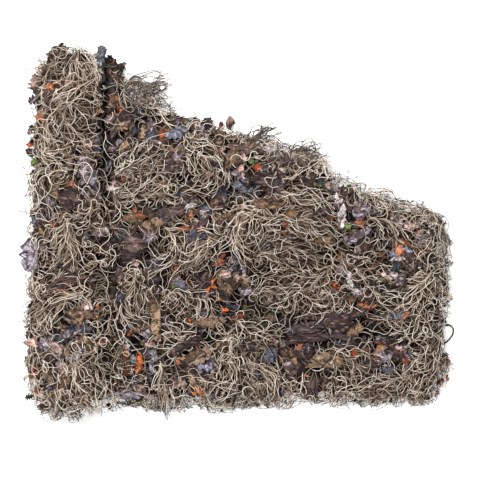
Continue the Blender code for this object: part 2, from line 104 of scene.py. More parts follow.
# ---- yarn ----------------------------------------------------------------
# Tufts on the raised strip and on the spread layer: width, strands, tangle, then the way it runs
STRIP_TUFTS = (
    (46, 80, 0.55, (-250, 294), (-253, 262), (-244, 234)),
    (22, 30, 0.7, (-236, 270), (-226, 252), (-216, 232)),
    (30, 34, 0.8, (-242, 286), (-224, 270), (-206, 250)),
    (44, 90, 0.45, (-222, 238), (-250, 224), (-292, 206)),
    (46, 100, 0.5, (-302, 148), (-293, 178), (-265, 196), (-232, 182), (-208, 158)),
    (40, 60, 0.7, (-292, 190), (-262, 170), (-232, 156)),
    (16, 26, 0.5, (-212, 164), (-207, 140), (-203, 110)),
    (38, 70, 0.7, (-300, 164), (-305, 136), (-294, 116), (-268, 120)),
    (30, 60, 0.6, (-258, 94), (-300, 93), (-322, 74), (-326, 48)),
    (20, 30, 0.7, (-320, 90), (-327, 60), (-320, 30)),
    (54, 110, 0.5, (-262, 20), (-264, -16), (-267, -58)),
    (20, 24, 0.6, (-250, -48), (-236, -72), (-218, -94)),
    (26, 34, 0.8, (-322, -66), (-328, -100), (-318, -134)),
    (32, 90, 0.35, (-243, -96), (-280, -111), (-310, -134), (-338, -163)),
    (34, 70, 0.5, (-250, -192), (-253, -240), (-245, -300)),
    (24, 34, 0.7, (-222, -206), (-216, -240), (-212, -270)),
    (42, 70, 0.6, (-284, -226), (-283, -262), (-280, -303)),
    (26, 30, 0.9, (-312, -190), (-326, -214), (-330, -238)),
    (30, 34, 0.9, (-292, 266), (-300, 246), (-310, 222)),
    (30, 30, 0.9, (-300, -140), (-322, -176), (-326, -200)),
    (30, 26, 1.0, (-236, 60), (-226, 30), (-216, 4)),
    (26, 26, 0.9, (-296, 8), (-318, -14), (-330, -34)),
)
MAIN_TUFTS = (
    (18, 24, 0.9, (-204, 268), (-198, 240), (-186, 212)),
    (14, 14, 0.9, (-186, 250), (-202, 226), (-204, 196)),
    (12, 12, 0.9, (-200, 190), (-190, 168), (-200, 140)),
    (48, 100, 0.5, (-158, -58), (-161, -100), (-170, -136), (-156, -152)),
    (20, 36, 0.5, (-120, 10), (-97, -12), (-107, -44), (-152, -57)),
    (46, 100, 0.6, (-22, -8), (-60, -18), (-98, -42), (-110, -64)),
    (34, 90, 0.8, (-120, -112), (-95, -97), (-58, -108), (-52, -135), (-85, -150), (-118, -134)),
    (28, 60, 0.4, (-122, -204), (-112, -250), (-100, -303)),
    (30, 46, 0.7, (-38, -236), (-46, -262), (-30, -284), (-8, -294)),
    (32, 64, 0.6, (-6, -154), (-10, -205), (-12, -266)),
    (40, 60, 1.0, (-208, -246), (-190, -262), (-160, -276)),
    (12, 6, 0.5, (-45, -178), (-15, -203), (-20, -228)),
    (30, 22, 0.9, (-156, 204), (-128, 192), (-106, 174)),
    (38, 66, 0.6, (-194, 92), (-160, 108), (-128, 130)),
    (46, 90, 0.9, (-194, 56), (-150, 72), (-102, 94)),
    (36, 90, 0.7, (-80, 154), (-58, 122), (-34, 96), (-44, 66), (-80, 58), (-102, 84)),
    (18, 34, 0.5, (-196, 66), (-194, 40), (-197, 12)),
    (24, 36, 0.6, (-208, -118), (-204, -150), (-200, -188)),
    (26, 34, 0.7, (-210, -208), (-204, -236), (-190, -264)),
    (30, 60, 0.5, (12, 46), (2, 14), (-7, -24)),
    (34, 80, 0.7, (62, 22), (28, 33), (2, 8), (18, -25), (52, -27), (80, -4)),
    (44, 80, 0.6, (38, 10), (90, 15), (134, -7)),
    (58, 130, 0.55, (26, -40), (60, -28), (105, -38), (150, -64)),
    (40, 70, 0.7, (152, -58), (100, -82), (38, -96)),
    (38, 90, 0.8, (22, -98), (58, -90), (98, -104), (90, -131), (52, -137), (26, -118)),
    (36, 50, 0.8, (100, -98), (130, -112), (152, -124)),
    (36, 56, 0.6, (98, 24), (118, 6), (148, -20)),
    (40, 66, 1.0, (158, -44), (190, -58), (230, -72)),
    (34, 26, 0.8, (202, -86), (228, -100), (258, -118)),
    (46, 110, 0.5, (328, -60), (300, -78), (262, -112), (214, -150)),
    (34, 56, 0.7, (302, -130), (255, -150), (202, -173)),
    (52, 110, 0.5, (332, -158), (312, -200), (270, -252)),
    (34, 46, 0.7, (278, -248), (306, -256), (330, -260)),
    (46, 90, 0.6, (284, -230), (200, -248), (110, -274)),
    (40, 46, 0.6, (240, -246), (236, -264), (228, -281)),
    (30, 46, 0.8, (-4, -138), (14, -154), (32, -174)),
    (60, 120, 0.55, (18, -198), (48, -235), (66, -281)),
    (30, 46, 0.7, (4, -228), (14, -260), (20, -282)),
    (44, 90, 0.6, (310, 34), (330, 10), (334, -22), (318, -48)),
    (32, 56, 0.5, (196, 63), (240, 51), (294, 28)),
    (26, 40, 0.6, (148, 90), (185, 84), (228, 68)),
    (20, 22, 0.7, (-8, 148), (22, 158), (54, 170)),
    (32, 56, 0.6, (60, 62), (100, 54), (152, 36)),
    (26, 40, 0.6, (208, 22), (245, 14), (284, -4)),
    (12, 8, 0.5, (330, -52), (338, -82), (335, -112)),
    (36, 40, 0.8, (-180, -180), (-196, -210), (-200, -240)),
    (34, 40, 0.9, (150, -186), (190, -214), (214, -240)),
    (30, 34, 0.9, (300, -140), (318, -170), (330, -196)),
    (30, 30, 0.9, (-64, -160), (-92, -176), (-128, -182)),
    (30, 40, 0.8, (60, -166), (40, -176), (14, -190)),
    (26, 26, 0.9, (176, -100), (160, -116), (140, -126)),
    (36, 40, 0.9, (100, 104), (70, 96), (40, 104)),
    (30, 30, 0.9, (-130, 60), (-100, 46), (-60, 44)),
)
# One strand
YARN_R, YARN_SIDES = 0.545, 3
STRAND_POINTS = 24        # points along it
STRAND_STEP = 4.5         # length between them
UNEVEN = (0.85, 1.15)     # thinnest and thickest strand, over YARN_R
TAPER_FALL, TAPER_RANGE = (1.8, 0.4), (0.75, 1.0)   # the fall along it, and what it is kept within
STRAIGHT = 0.45           # a bend smaller than this needs no point of its own
LEAST_POINTS = 6          # a strand with no more points than this is left out
ENDS_LOST = 8             # strands end raggedly: each loses fewer points than this

# How the strands of one tuft run
PATH_POINTS = 40          # points along the tuft's route
LOCK_STRANDS = 9          # strands that curve together
LOCK_MIXED = 0.4          # how far strands stray into the next lock
STEPS_VARY = (0.85, 1.1)  # shortest and longest steps, over the usual one
NEVER = 9.0               # a share of the route that stops no strand
STOP_POINTS = 4           # a strand that is stopped has at least this many points
OFF_MIDDLE, OFF_MOST = 0.27, 0.55      # how far they lie off its middle line, over its width
BEGINS = (-0.05, 0.34)    # the share of the route at which they begin
FANNED = (0.45, 0.8)      # the tuft's width where it begins, over its full width
LOOPED, LOOP_CURL = 0.26, (0.25, 0.55)              # share that loops, and its turn at each step
HOOKED, HOOKED_MORE, HOOK_CURL = 0.2, 0.4, (0.1, 0.45)   # share that hooks, plain and by tangle
HOOK_BEGINS = (0.35, 0.85)
SWAY_KEPT, SWAY_MORE, SWAY_LEAST = 0.7, 0.13, 0.09  # a lock's turning: kept, by tangle, always
BEND_KEPT, BEND_MORE, BEND_LEAST = 0.55, 0.15, 0.06      # and one strand's own
FIRST_TURN, TURN_KEPT = 0.25, 0.90     # turn away from the route: at first, and kept at each step
MOUND_TOP, MOUND_BASE = 9.0, -5.0      # strands in the tuft's middle lie on those at its sides
PILED = 3.0               # and at most this far above or below their place in the mound
ARCH = 3.0                # a strand's middle stands this much higher than its ends
RISE_KEPT, RISE_MORE, RISE_SHARE = 0.70, 0.9, 1.6   # how a strand's height wanders along it
PULL, FREE_PULL = 0.11, 0.25           # pull back to the route, and a looping strand's share of it
PULL_FADE = 4.0           # how fast the pull fades past the route's end
TUFT_TONES = (0.85, 1.2)  # darkest and palest tuft

# How much yarn there is, and where
PIECE_STRANDS = 2000      # a joined yarn piece holds at most this many strands
STRAND_SHARE = 1.6        # the tufts' strands are this many times their chart
FILL_START, FILL_STEP = 8, 25.0        # small tufts fill the ground: their first place and spacing
FILL_STRANDS, FILL_SINK = 4, 4.0
FILL_REACHES, FILL_WIDTHS = (45, 85), (14, 30)
FILL_TANGLES, FILL_TONES = (0.7, 1.2), (0.8, 1.2)
FILL_JITTER = 9           # their places stray this far from an even grid
FILL_PATCH, FILL_TURN = 95.0, 6.0      # their lie turns by up to this angle over about that length
FILL_STRAY, FILL_BEND = 0.7, 0.6       # one tuft's own turn and bend
RIM_TUFTS = {"strip": 180, "main": 420}    # places on each layer's rim that get a small tuft
RIM_STRANDS, RIM_WIDTHS, RIM_TANGLE, RIM_TONES = 6, (10, 20), 0.9, (1.0, 1.4)
RIM_INSET = 2.0           # these lie this far inside the very edge
RIM_BACK, RIM_ALONG = (16, 36), (14, 34)   # how far they reach inward, and along the rim
RIM_STRAY, RIM_TURN = 0.5, (0.9, 2.2)      # how far they stray from straight out, and turn aside
FRINGE_STEP = 11.0        # spacing of the tufts that hang down the folded layers' sides
FRINGE_STRANDS, FRINGE_WIDTH, FRINGE_POINTS = 5, 15, 13
# strands hung on the folded layers' sides: random tones, darkened as painted shade
FRINGE_STARTS, FRINGE_TONES_AND_SHADE = (-6, 4), (0.55, 0.95)
FRINGE_TANGLE = 0.9
FRINGE_SWINGS = (7, 14)   # how far their middles and tips swing aside
FRINGE_OUT = (0.5, 10)    # how far off the layers they hang
FRINGE_CUTS = 26.0        # spacing of the cuts between them
OVER_SHARE = 0.18         # share of strands that cross over the cloth rather than under it
FILL_OVER, RIM_OVER = 0.35, 0.5        # and of the low tufts and those at the rim
UNDER_GAP = 1.8           # a strand under a cut lies this far below it
OVERHANGS = (0.5, 3.0, 7.0, 12.0)      # how far strands may stand out past the rim
OVERHANG_SHARES = (0.55, 0.28, 0.13, 0.04)
LOOSE_BELOW, LOOSE_RIGHT = -235.0, 300.0   # past these they stand out further,
LOOSE_MORE = 4.5          # by this much
CREVICE_Y = 55.0          # beyond this the raised strip's edge stands over a dark gap
CREVICE, CREVICE_FRAY = (-213.5, -206.5), 1.5      # its two sides, and how far strands blur them
CREVICE_WAVES = ((3.4, 9.5, 0.0), (2.6, 4.3, 1.7), (1.6, 2.1, 0.4))   # size, length, start
CROSSING = 0.10           # share of strands that cross it
GAP_LEFT, GAP_RIGHT = 10, 2            # no small cut lies this near to it

# Painted shade that deep tufts hold, in the colours of their strands and cloth
TOP_REACH = 3             # cells each way over which the top strands' height is averaged
HIDDEN_DEPTH = 4.2        # a strand this far below the top ones can't be seen
SEEN_LEAST, SEEN_MORE = 3, 2           # it needs more seen points than this, and keeps some past them
SHADE_LEVEL = 0.60        # brightness of a strand as high as the top ones' mean
SHADE_DEPTH = 4.2         # it falls to nothing over this depth
SHADE_LEAST = 0.05
SHADE_POWERS = (1.22, 1.42, 1.54)   # red, green and blue: the painted shade is warmer than light
# painted shade on cloth under the strands: its level, depth and least
CLOTH_SHADE_LEVEL, CLOTH_SHADE_DEPTH, CLOTH_SHADE_LEAST = 0.66, 11.0, 0.22
RIM_SHADE, RIM_FADE = 0.95, 6.0        # brightness of loose ends, reached this far past the rim
FILL_PAINTED_SHADE = 0.62          # painted shade: brightness of the low ground tufts over that of the charted ones
CREASE_PAINTED_SHADE = 0.22        # painted shade on strands hung down the crease
PALEST = (0.86, 0.78, 0.69)

# Yarn dyes and how often each is spun in
YARN_DYES = (
    ((0.84, 0.715, 0.60), 0.33), ((0.56, 0.46, 0.375), 0.24), ((1.0, 0.94, 0.84), 0.19),
    ((0.32, 0.25, 0.20), 0.11), ((0.36, 0.325, 0.22), 0.06), ((0.13, 0.095, 0.075), 0.07),
)
# Loose wiry tufts that stand out past the rim: width, strands, tangle, then the way they run
WHISKERS = (
    (7, 12, 0.35, (-190, 224), (-179, 237), (-155, 243), (-136, 247), (-108, 255)),
    (12, 8, 0.9, (-186, 226), (-162, 240), (-140, 242)),
    (30, 14, 1.5, (-182, 214), (-150, 220), (-120, 228), (-98, 214)),
    (26, 16, 1.6, (-160, 204), (-132, 212), (-110, 208), (-92, 190)),
    (20, 10, 1.4, (-150, 216), (-136, 232), (-116, 232), (-104, 216)),
    (16, 26, 0.9, (66, 110), (90, 122), (108, 138), (124, 150)),
    (12, 12, 0.6, (84, 118), (108, 134), (138, 143)),
    (20, 24, 1.5, (88, 112), (108, 122), (126, 138)),
    (8, 4, 0.4, (110, 118), (132, 126), (152, 135)),
    (9, 9, 0.5, (16, 136), (34, 154), (50, 169)),
    (12, 14, 0.8, (18, 134), (46, 154), (72, 163)),
    (14, 14, 1.2, (20, 130), (52, 144), (80, 150)),
)
WHISKER_R, WHISKER_SIDES, WHISKER_STEP = 1.0, 4, 3.4
WHISKER_DYE, WHISKER_TONES = (0.15, 0.12, 0.10), (0.35, 0.7, 1.1, 1.8)
WHISKER_TAPER, WHISKER_STOP = (1.1, 0.7), 1.05
OPEN_SPOT, OPEN_REACH = (-128.0, 232.0), 42.0   # here the wiry tufts stand alone over the floor

# ---- cloth ---------------------------------------------------------------
CLOTH_DYES = {
    "bark": (0.064, 0.043, 0.038), "tan": (0.235, 0.162, 0.102), "rust": (0.33, 0.13, 0.066),
    "orange": (0.48, 0.125, 0.035), "salmon": (0.40, 0.29, 0.25), "lilac": (0.27, 0.235, 0.26),
    "grey": (0.165, 0.168, 0.195), "white": (0.58, 0.53, 0.52), "navy": (0.066, 0.068, 0.092),
    "green": (0.13, 0.20, 0.065),
}
# How strongly pale streaks show on each, and how sharply each crumples
STREAKS, FAINT_STREAKS = {"bark": 0.8, "lilac": 0.5, "grey": 0.4}, 0.25
CREASES, SOFT_CREASE = {"bark": 0.95, "navy": 0.8}, 0.55
SMALLER = {"orange": 0.72, "rust": 0.85}              # bright cuts show only in part
CLOTH_SLOTS = {"navy": "cloth_grey", "green": "netting"}
CLOTH_THICK = 0.35
EDGE_SHADE = 0.62         # painted shade: cut edges are painted darker, as if curled under
CUT_LONGER, CUT_WIDER = 1.25, 1.3      # strands cover each cut's rim, so it is cut larger than shows
NARROW = 9                # a narrower cut is ragged, not lobed
LEAF_STRAY = 10           # degrees by which a cut lies off its charted turn
LEAF_LIFTS, BARE_LIFTS, TUFT_LIFTS = (1.0, 5.0), (0.0, 4.0), (-4.0, 2.0)   # over the ground or a tuft
CUT_DROP = 6.0            # a cut's edges hang at most this far below the tufts round it
CUT_LOWEST = 0.8
CUT_STEP = 3.0            # spacing of the points in a solid's own cut
CUT_TONES = (0.7, 1.25)
FOLLOWS = 0.3             # how closely a cut follows the tufts under it
OAK_SHORT, RAG_SHORT = 26, 22          # shorter cuts have fewer lobes or teeth
OAK_LOBE = ((0.0, 0.34), (0.35, 0.80), (0.66, 1.0), (0.86, 0.72))   # along a lobe, and out from it
RAG_WAVES, RAG_TEETH = (2, 3, 4, 6), 0.32
BENDS = ((0.0, 1.1), (1.3, 0.7))       # a cut's two bends: turned by this, this strong
WIDE_FOLD, FINE_FOLD = 11.0, 3.8       # lengths of its wide and fine creases
WIDE_RISE, FINE_RISE, WIDE_DRIFT = 4.6, 0.9, (2.0, 2.0, 0.0)
TIPPED, TIPPED_MOST = 0.22, 0.5        # how far it tilts
# Leaf cuts that show: x, y, length, width, turn, dye
LEAVES = (
    (-294, 258, 26, 20, 60, "tan"), (-285, 287, 15, 12, 0, "grey"), (-287, 272, 26, 22, 20, "bark"),
    (-215, 280, 25, 15, 80, "grey"), (-209, 268, 16, 12, 0, "tan"), (-192, 250, 20, 15, 10, "tan"),
    (-320, 235, 24, 18, 70, "salmon"), (-318, 208, 22, 15, 0, "navy"), (-297, 205, 12, 8, 40, "green"),
    (-305, 175, 12, 8, 20, "green"), (-325, 160, 15, 10, 90, "grey"), (-323, 137, 24, 10, 0, "orange"),
    (-325, 124, 16, 12, 0, "bark"), (-318, 110, 15, 12, 30, "green"), (-275, 122, 20, 15, 80, "tan"),
    (-262, 112, 20, 14, 70, "salmon"), (-240, 108, 25, 18, 10, "lilac"),
    (-234, 84, 25, 24, 40, "grey"), (-228, 58, 14, 10, 0, "white"), (-206, 100, 25, 10, 85, "grey"),
    (-200, 68, 36, 13, 5, "white"), (-305, 62, 12, 12, 0, "grey"), (-293, 42, 25, 24, 20, "lilac"),
    (-308, 20, 28, 18, 10, "grey"), (-285, 12, 15, 10, 0, "orange"), (-222, 22, 12, 12, 0, "white"),
    (-216, 0, 25, 15, 0, "white"), (-205, 20, 15, 10, 80, "orange"), (-193, 5, 12, 10, 0, "rust"),
    (-210, 40, 20, 10, 85, "rust"), (-265, -78, 56, 18, 5, "bark"), (-194, 236, 34, 20, 75, "bark"),
    (-196, 205, 26, 16, 60, "tan"), (-193, 166, 30, 18, 80, "bark"), (-190, 112, 24, 14, 70, "bark"),
    (-216, -30, 15, 8, 80, "rust"), (-235, 62, 20, 14, 30, "lilac"), (-250, 20, 16, 12, 0, "lilac"),
    (-218, 60, 18, 10, 80, "grey"), (-240, -8, 18, 12, 40, "grey"), (-185, 195, 18, 12, 0, "orange"),
    (-196, 183, 16, 12, 0, "rust"), (-145, 195, 15, 12, 0, "green"), (-156, 201, 16, 10, 20, "lilac"),
    (-150, 158, 22, 15, 80, "tan"), (-118, 155, 18, 17, 0, "orange"), (-130, 142, 20, 7, 0, "white"),
    (-85, 177, 16, 12, 0, "tan"), (-70, 172, 22, 14, 60, "bark"), (-48, 171, 24, 16, 70, "bark"),
    (-30, 160, 18, 14, 0, "tan"), (-25, 172, 15, 8, 80, "orange"), (-12, 175, 20, 14, 80, "salmon"),
    (-16, 153, 40, 10, 0, "tan"), (-110, 126, 50, 20, -5, "tan"), (-105, 105, 25, 20, 0, "bark"),
    (-90, 110, 15, 12, 80, "salmon"), (-170, 85, 44, 10, 8, "rust"), (-150, 84, 16, 9, 0, "orange"),
    (-155, 57, 8, 6, 0, "orange"), (-90, 60, 15, 12, 0, "grey"), (-148, 128, 9, 6, 0, "green"),
    (-185, 140, 18, 12, 20, "grey"), (-186, 130, 25, 14, 0, "bark"), (-33, 105, 20, 12, 0, "navy"),
    (-28, 135, 20, 15, 80, "salmon"), (-40, 127, 20, 10, 0, "tan"), (-5, 120, 25, 20, 80, "tan"),
    (4, 88, 34, 8, -24, "lilac"), (45, 129, 50, 15, 0, "white"), (25, 110, 14, 10, 0, "green"),
    (35, 102, 25, 15, 0, "orange"), (70, 110, 30, 20, 0, "bark"), (132, 75, 14, 8, 0, "green"),
    (150, 70, 25, 15, 0, "white"), (180, 70, 15, 8, 0, "green"), (-125, 15, 24, 18, 0, "tan"),
    (-158, -28, 16, 14, 30, "salmon"), (-135, -8, 26, 20, 0, "lilac"), (-72, 45, 25, 14, 75, "white"),
    (-70, 30, 16, 12, 0, "tan"), (-50, 38, 25, 12, 0, "grey"), (-50, -8, 15, 12, 0, "orange"),
    (-22, 62, 30, 15, 85, "navy"), (-140, -75, 30, 28, 0, "bark"), (-95, -58, 15, 6, 0, "orange"),
    (-90, -85, 20, 15, 0, "grey"), (-102, -88, 10, 8, 0, "green"), (-78, -80, 20, 10, 85, "orange"),
    (-30, -104, 26, 8, -45, "orange"), (-55, -100, 20, 15, 0, "lilac"),
    (-18, -68, 18, 12, 0, "salmon"), (-5, -80, 20, 14, 80, "navy"), (-137, -185, 44, 12, 90, "grey"),
    (-52, -130, 12, 10, 0, "grey"), (-75, -140, 14, 11, 0, "orange"), (-18, -125, 14, 10, 0, "orange"),
    (-5, -140, 14, 10, 40, "orange"), (-218, -120, 12, 9, 0, "orange"),
    (-245, -152, 38, 18, 0, "navy"), (-275, -152, 12, 8, 0, "tan"), (-240, -178, 30, 28, 0, "tan"),
    (-265, -185, 20, 12, 80, "tan"), (-278, -208, 25, 9, 90, "white"),
    (-318, -181, 28, 26, 0, "salmon"), (-322, -186, 12, 9, 80, "orange"),
    (-295, -240, 20, 14, 80, "navy"), (-318, -253, 12, 10, 0, "orange"),
    (-310, -250, 20, 14, 0, "rust"), (-328, -262, 12, 9, 0, "green"), (-235, -243, 15, 12, 0, "grey"),
    (-205, -280, 14, 10, 0, "rust"), (-170, -160, 13, 10, 0, "rust"), (-155, -155, 14, 11, 0, "tan"),
    (-150, -177, 10, 6, 0, "green"), (-175, -185, 25, 12, 90, "white"),
    (-175, -222, 20, 10, 85, "orange"), (-165, -205, 15, 12, 80, "grey"),
    (-165, -236, 20, 15, 0, "grey"), (-110, -170, 18, 14, 80, "salmon"),
    (-90, -205, 20, 15, 0, "rust"), (-25, -185, 25, 20, 0, "tan"), (-40, -215, 52, 12, 22, "lilac"),
    (-50, -234, 35, 7, 0, "white"), (-95, -240, 30, 18, 0, "salmon"), (-165, -258, 50, 18, 0, "lilac"),
    (-155, -268, 15, 8, 0, "green"), (-10, -245, 15, 14, 0, "lilac"), (-30, -262, 25, 10, 0, "grey"),
    (72, 43, 14, 10, 0, "orange"), (150, 22, 12, 10, 80, "orange"), (75, 10, 16, 15, 0, "orange"),
    (75, -4, 11, 8, 0, "orange"), (45, -25, 30, 9, 0, "navy"), (75, -35, 20, 8, 0, "lilac"),
    (110, -45, 20, 18, 0, "tan"), (215, 30, 25, 15, 0, "white"), (175, 8, 16, 12, 0, "green"),
    (195, 12, 25, 14, 0, "navy"), (176, -12, 16, 8, 40, "white"), (292, -5, 20, 15, 0, "salmon"),
    (293, -15, 16, 10, 0, "lilac"), (275, -7, 8, 6, 0, "orange"), (255, -43, 20, 8, 0, "white"),
    (230, -38, 15, 8, 0, "rust"), (305, -30, 20, 12, 80, "tan"), (260, -78, 20, 14, 80, "lilac"),
    (180, -77, 24, 10, -62, "white"), (195, -94, 26, 9, -12, "white"), (155, -86, 25, 17, 0, "orange"),
    (163, -40, 15, 6, 80, "orange"), (110, -80, 25, 12, 85, "tan"), (90, -82, 20, 9, 0, "grey"),
    (180, -108, 20, 17, 0, "tan"), (185, -155, 30, 19, 0, "tan"), (275, -145, 20, 14, 0, "green"),
    (110, -153, 60, 14, 5, "bark"), (188, -193, 20, 14, 85, "orange"), (207, -187, 12, 9, 0, "rust"),
    (228, -178, 16, 7, 0, "orange"), (268, -202, 25, 19, 80, "rust"), (260, -185, 16, 12, 0, "salmon"),
    (240, -220, 20, 11, 0, "navy"), (108, -230, 13, 9, 0, "orange"), (60, -175, 20, 10, 85, "salmon"),
    (35, -225, 20, 14, 80, "navy"), (70, -250, 25, 9, 85, "navy"), (320, -155, 16, 14, 0, "grey"),
    (310, -175, 20, 7, 0, "grey"), (336, -205, 25, 10, 88, "tan"), (338, -235, 12, 6, 85, "orange"),
    (331, -100, 12, 5, 85, "orange"), (326, -70, 50, 7, 88, "bark"), (320, -120, 50, 7, 86, "bark"),
    (325, -240, 16, 12, 0, "rust"), (5, -135, 14, 10, 0, "orange"), (5, -185, 15, 10, 85, "rust"),
    (10, -75, 25, 14, 0, "salmon"), (15, -95, 18, 12, 0, "lilac"), (-182, -100, 22, 14, 70, "bark"),
    (-190, -70, 26, 20, 60, "bark"), (-196, -40, 22, 14, 80, "bark"), (-60, 10, 30, 18, 20, "bark"),
    (-30, 40, 26, 16, -20, "bark"), (60, 70, 30, 18, 10, "bark"), (90, 100, 24, 16, 30, "bark"),
    (190, -130, 30, 16, 20, "bark"), (230, -90, 24, 16, 0, "bark"), (160, -165, 40, 16, -8, "bark"),
    (215, -215, 26, 16, 20, "bark"), (100, -205, 26, 18, 0, "bark"), (20, -180, 24, 16, 30, "bark"),
    (300, -50, 22, 14, 60, "bark"), (-318, -222, 26, 18, 60, "rust"), (-326, -160, 20, 14, 80, "tan"),
    (-298, -196, 24, 16, 20, "bark"), (-270, -236, 24, 16, 60, "tan"),
    (-302, -274, 22, 16, 40, "bark"), (252, 20, 34, 13, -50, "white"), (160, 48, 24, 13, 80, "white"),
    (-262, -160, 34, 12, 0, "lilac"), (-215, -175, 18, 12, 40, "rust"),
    (-300, -215, 24, 14, 70, "tan"), (-250, -262, 22, 14, 20, "lilac"),
    (-175, -196, 26, 9, 90, "orange"), (-204, 262, 30, 20, 80, "bark"),
    (-209, 247, 30, 18, 85, "bark"), (-203, 233, 26, 16, 70, "navy"), (-209, 276, 18, 12, 60, "grey"),
    (-190, 262, 22, 14, 30, "bark"), (-200, 214, 26, 16, 85, "bark"),
)
SCATTER = 640             # small cuts between the charted ones
RIM_CUT = 9.0             # their middles stay this far inside the rim
CUT_SIZES, CUT_WIDTHS = (20, 44), (0.5, 0.85)   # lengths, and widths over them
PART_SEEN, PART_SIZE = ("orange", "green", "white"), 0.5   # these are smaller than the others
SCATTER_DYES = (
    ("bark", 0.38), ("tan", 0.20), ("navy", 0.08), ("grey", 0.08), ("lilac", 0.09), ("rust", 0.06),
    ("salmon", 0.06), ("white", 0.02), ("green", 0.02), ("orange", 0.01),
)
HUNG_TOP = 250.0          # the fold's outer side is bare past this
HUNG_BOTTOM, HUNG_LEFT = -NET_HALF_UP + 6, TURN_X - 12
HUNG_STRAY = 5            # what hangs there strays this far from an even spacing
HUNG_ROWS = (0.2, 0.6)    # cuts hang this share of the way down
HUNG_SIZES, HUNG_SMALLER = (20, 38), 0.7   # on the ends and the crease they are smaller
HUNG_START, HUNG_R = 0.35, TURN_R + 6  # where round the turn they begin, and the turn they follow
HUNG_OFF = 4              # garnish there lies at least this far off the turn
HUNG_SHADE = 0.75         # painted shade on the cuts on the folded layers' sides
HUNG_OUT = (0.5, 6.0)     # they stand this far off the layers
# Sides of the folded layers that garnish hangs down, and how far down
SIDE_HEIGHTS = {"turn": 66.0, "crease": 24.0, "top": 50.0, "bottom": 50.0}

# ---- ground under the yarn ----------------------------------------------
CELL, FINE_CELL = 4.0, 2.0             # spacings of the height grids
GRID_MARGIN = 40.0        # they reach this far past the part
NOTHING = 1e3             # stands in a grid for a place where nothing lies
RAYS_FROM = 300.0         # height from which the slabs are measured
# Each layer's slab, its fall at each cell outside the rim, least height, and top of its solid body
SLABS = {"main": ("tufts_main", 3.2, 1.2, 14.0), "strip": ("tufts_strip", 3.0, 26.0, 45.0)}
SKIRT_CELLS, RIM_CELLS = 22, 16        # cells outside the rim that the fall and the distance reach
BED_DEPTH = 10.0          # the ground, painted near black for shade, lies this far below the tops of the tufts
BED_THIN = 2.0            # and is at least this thick
BED_ROUGH = 4.5
BED_CELL, BED_INSET = 6.0, 5.0
BED_SIDE, BED_END = 6, 4  # the fold's own mat keeps this far from its sides and its ends
# Mats of dark garnish, painted near black for shade: name, layer, low side, and what its top stays
# under
BEDS = (("ground_main", "main", 7.6, TOP_Z), ("ground_strip", "strip", 57.6, TOP_Z),
        ("ground_fold", "strip", 9.0, 45.0))

# ---- stage ---------------------------------------------------------------
VIEW_CENTRE = (20.8, -29.6)
VIEW_WIDTH = 800.0
VIEW_HEIGHT_REF = 25.0    # height at which the view is VIEW_WIDTH wide
LENS, SENSOR = 135.0, 36.0
FLOOR_HALF, FLOOR_GLOW = 3.0, 0.4      # in metres, as the lights and the clip are
CLIP_END = 50.0
PAPER_DARK, PAPER_PALE = (0.93, 0.93, 0.93), (0.95, 0.95, 0.95)
SKY, SKY_STRENGTH = (1.0, 0.99, 0.98, 1), 0.54
LIGHTS = (("soft_box", (-0.6, 0.5, 2.3), 0.6, 76.0), ("fill_box", (1.4, -0.8, 2.2), 1.8, 12.0))


class NetSettings(bpy.types.PropertyGroup):
    strand_radius: FloatProperty(
        name="Yarn radius", description="Radius of one strand of yarn", default=YARN_R * MM,
        min=0.0002, max=0.003, unit="LENGTH")
    strand_share: FloatProperty(
        name="Yarn amount", description="Share of the charted strands that is made",
        default=STRAND_SHARE, min=0.1, max=2.0)
    scatter: IntProperty(
        name="Small cuts", description="Number of small leaf cuts between the large ones",
        default=SCATTER, min=0, max=1200)
    twine_radius: FloatProperty(
        name="Twine radius", description="Radius of the netting's twine", default=TWINE_R * MM,
        min=0.0005, max=0.003, unit="LENGTH")
    mesh_pitch: FloatProperty(
        name="Mesh size", description="Side of one square of the netting", default=MESH_PITCH * MM,
        min=0.01, max=0.1, unit="LENGTH")
    cord_colour: FloatVectorProperty(
        name="Cord", description="Colour of the loop at the rim", default=CORD_DYE,
        subtype="COLOR", min=0.0, max=1.0)


def settings():
    return bpy.context.scene.net_settings


# ---- shader maths --------------------------------------------------------
class Wire:
    """A node socket that can be used in sums."""

    def __init__(self, shader, socket):
        self.shader, self.socket = shader, socket

    def _math(self, operation, other):
        return self.shader.node("ShaderNodeMath", {"operation": operation}, {0: self, 1: other})

    def __add__(self, other):
        return self._math("ADD", other)

    def __mul__(self, other):
        return self._math("MULTIPLY", other)

    __radd__ = __add__
    __rmul__ = __mul__


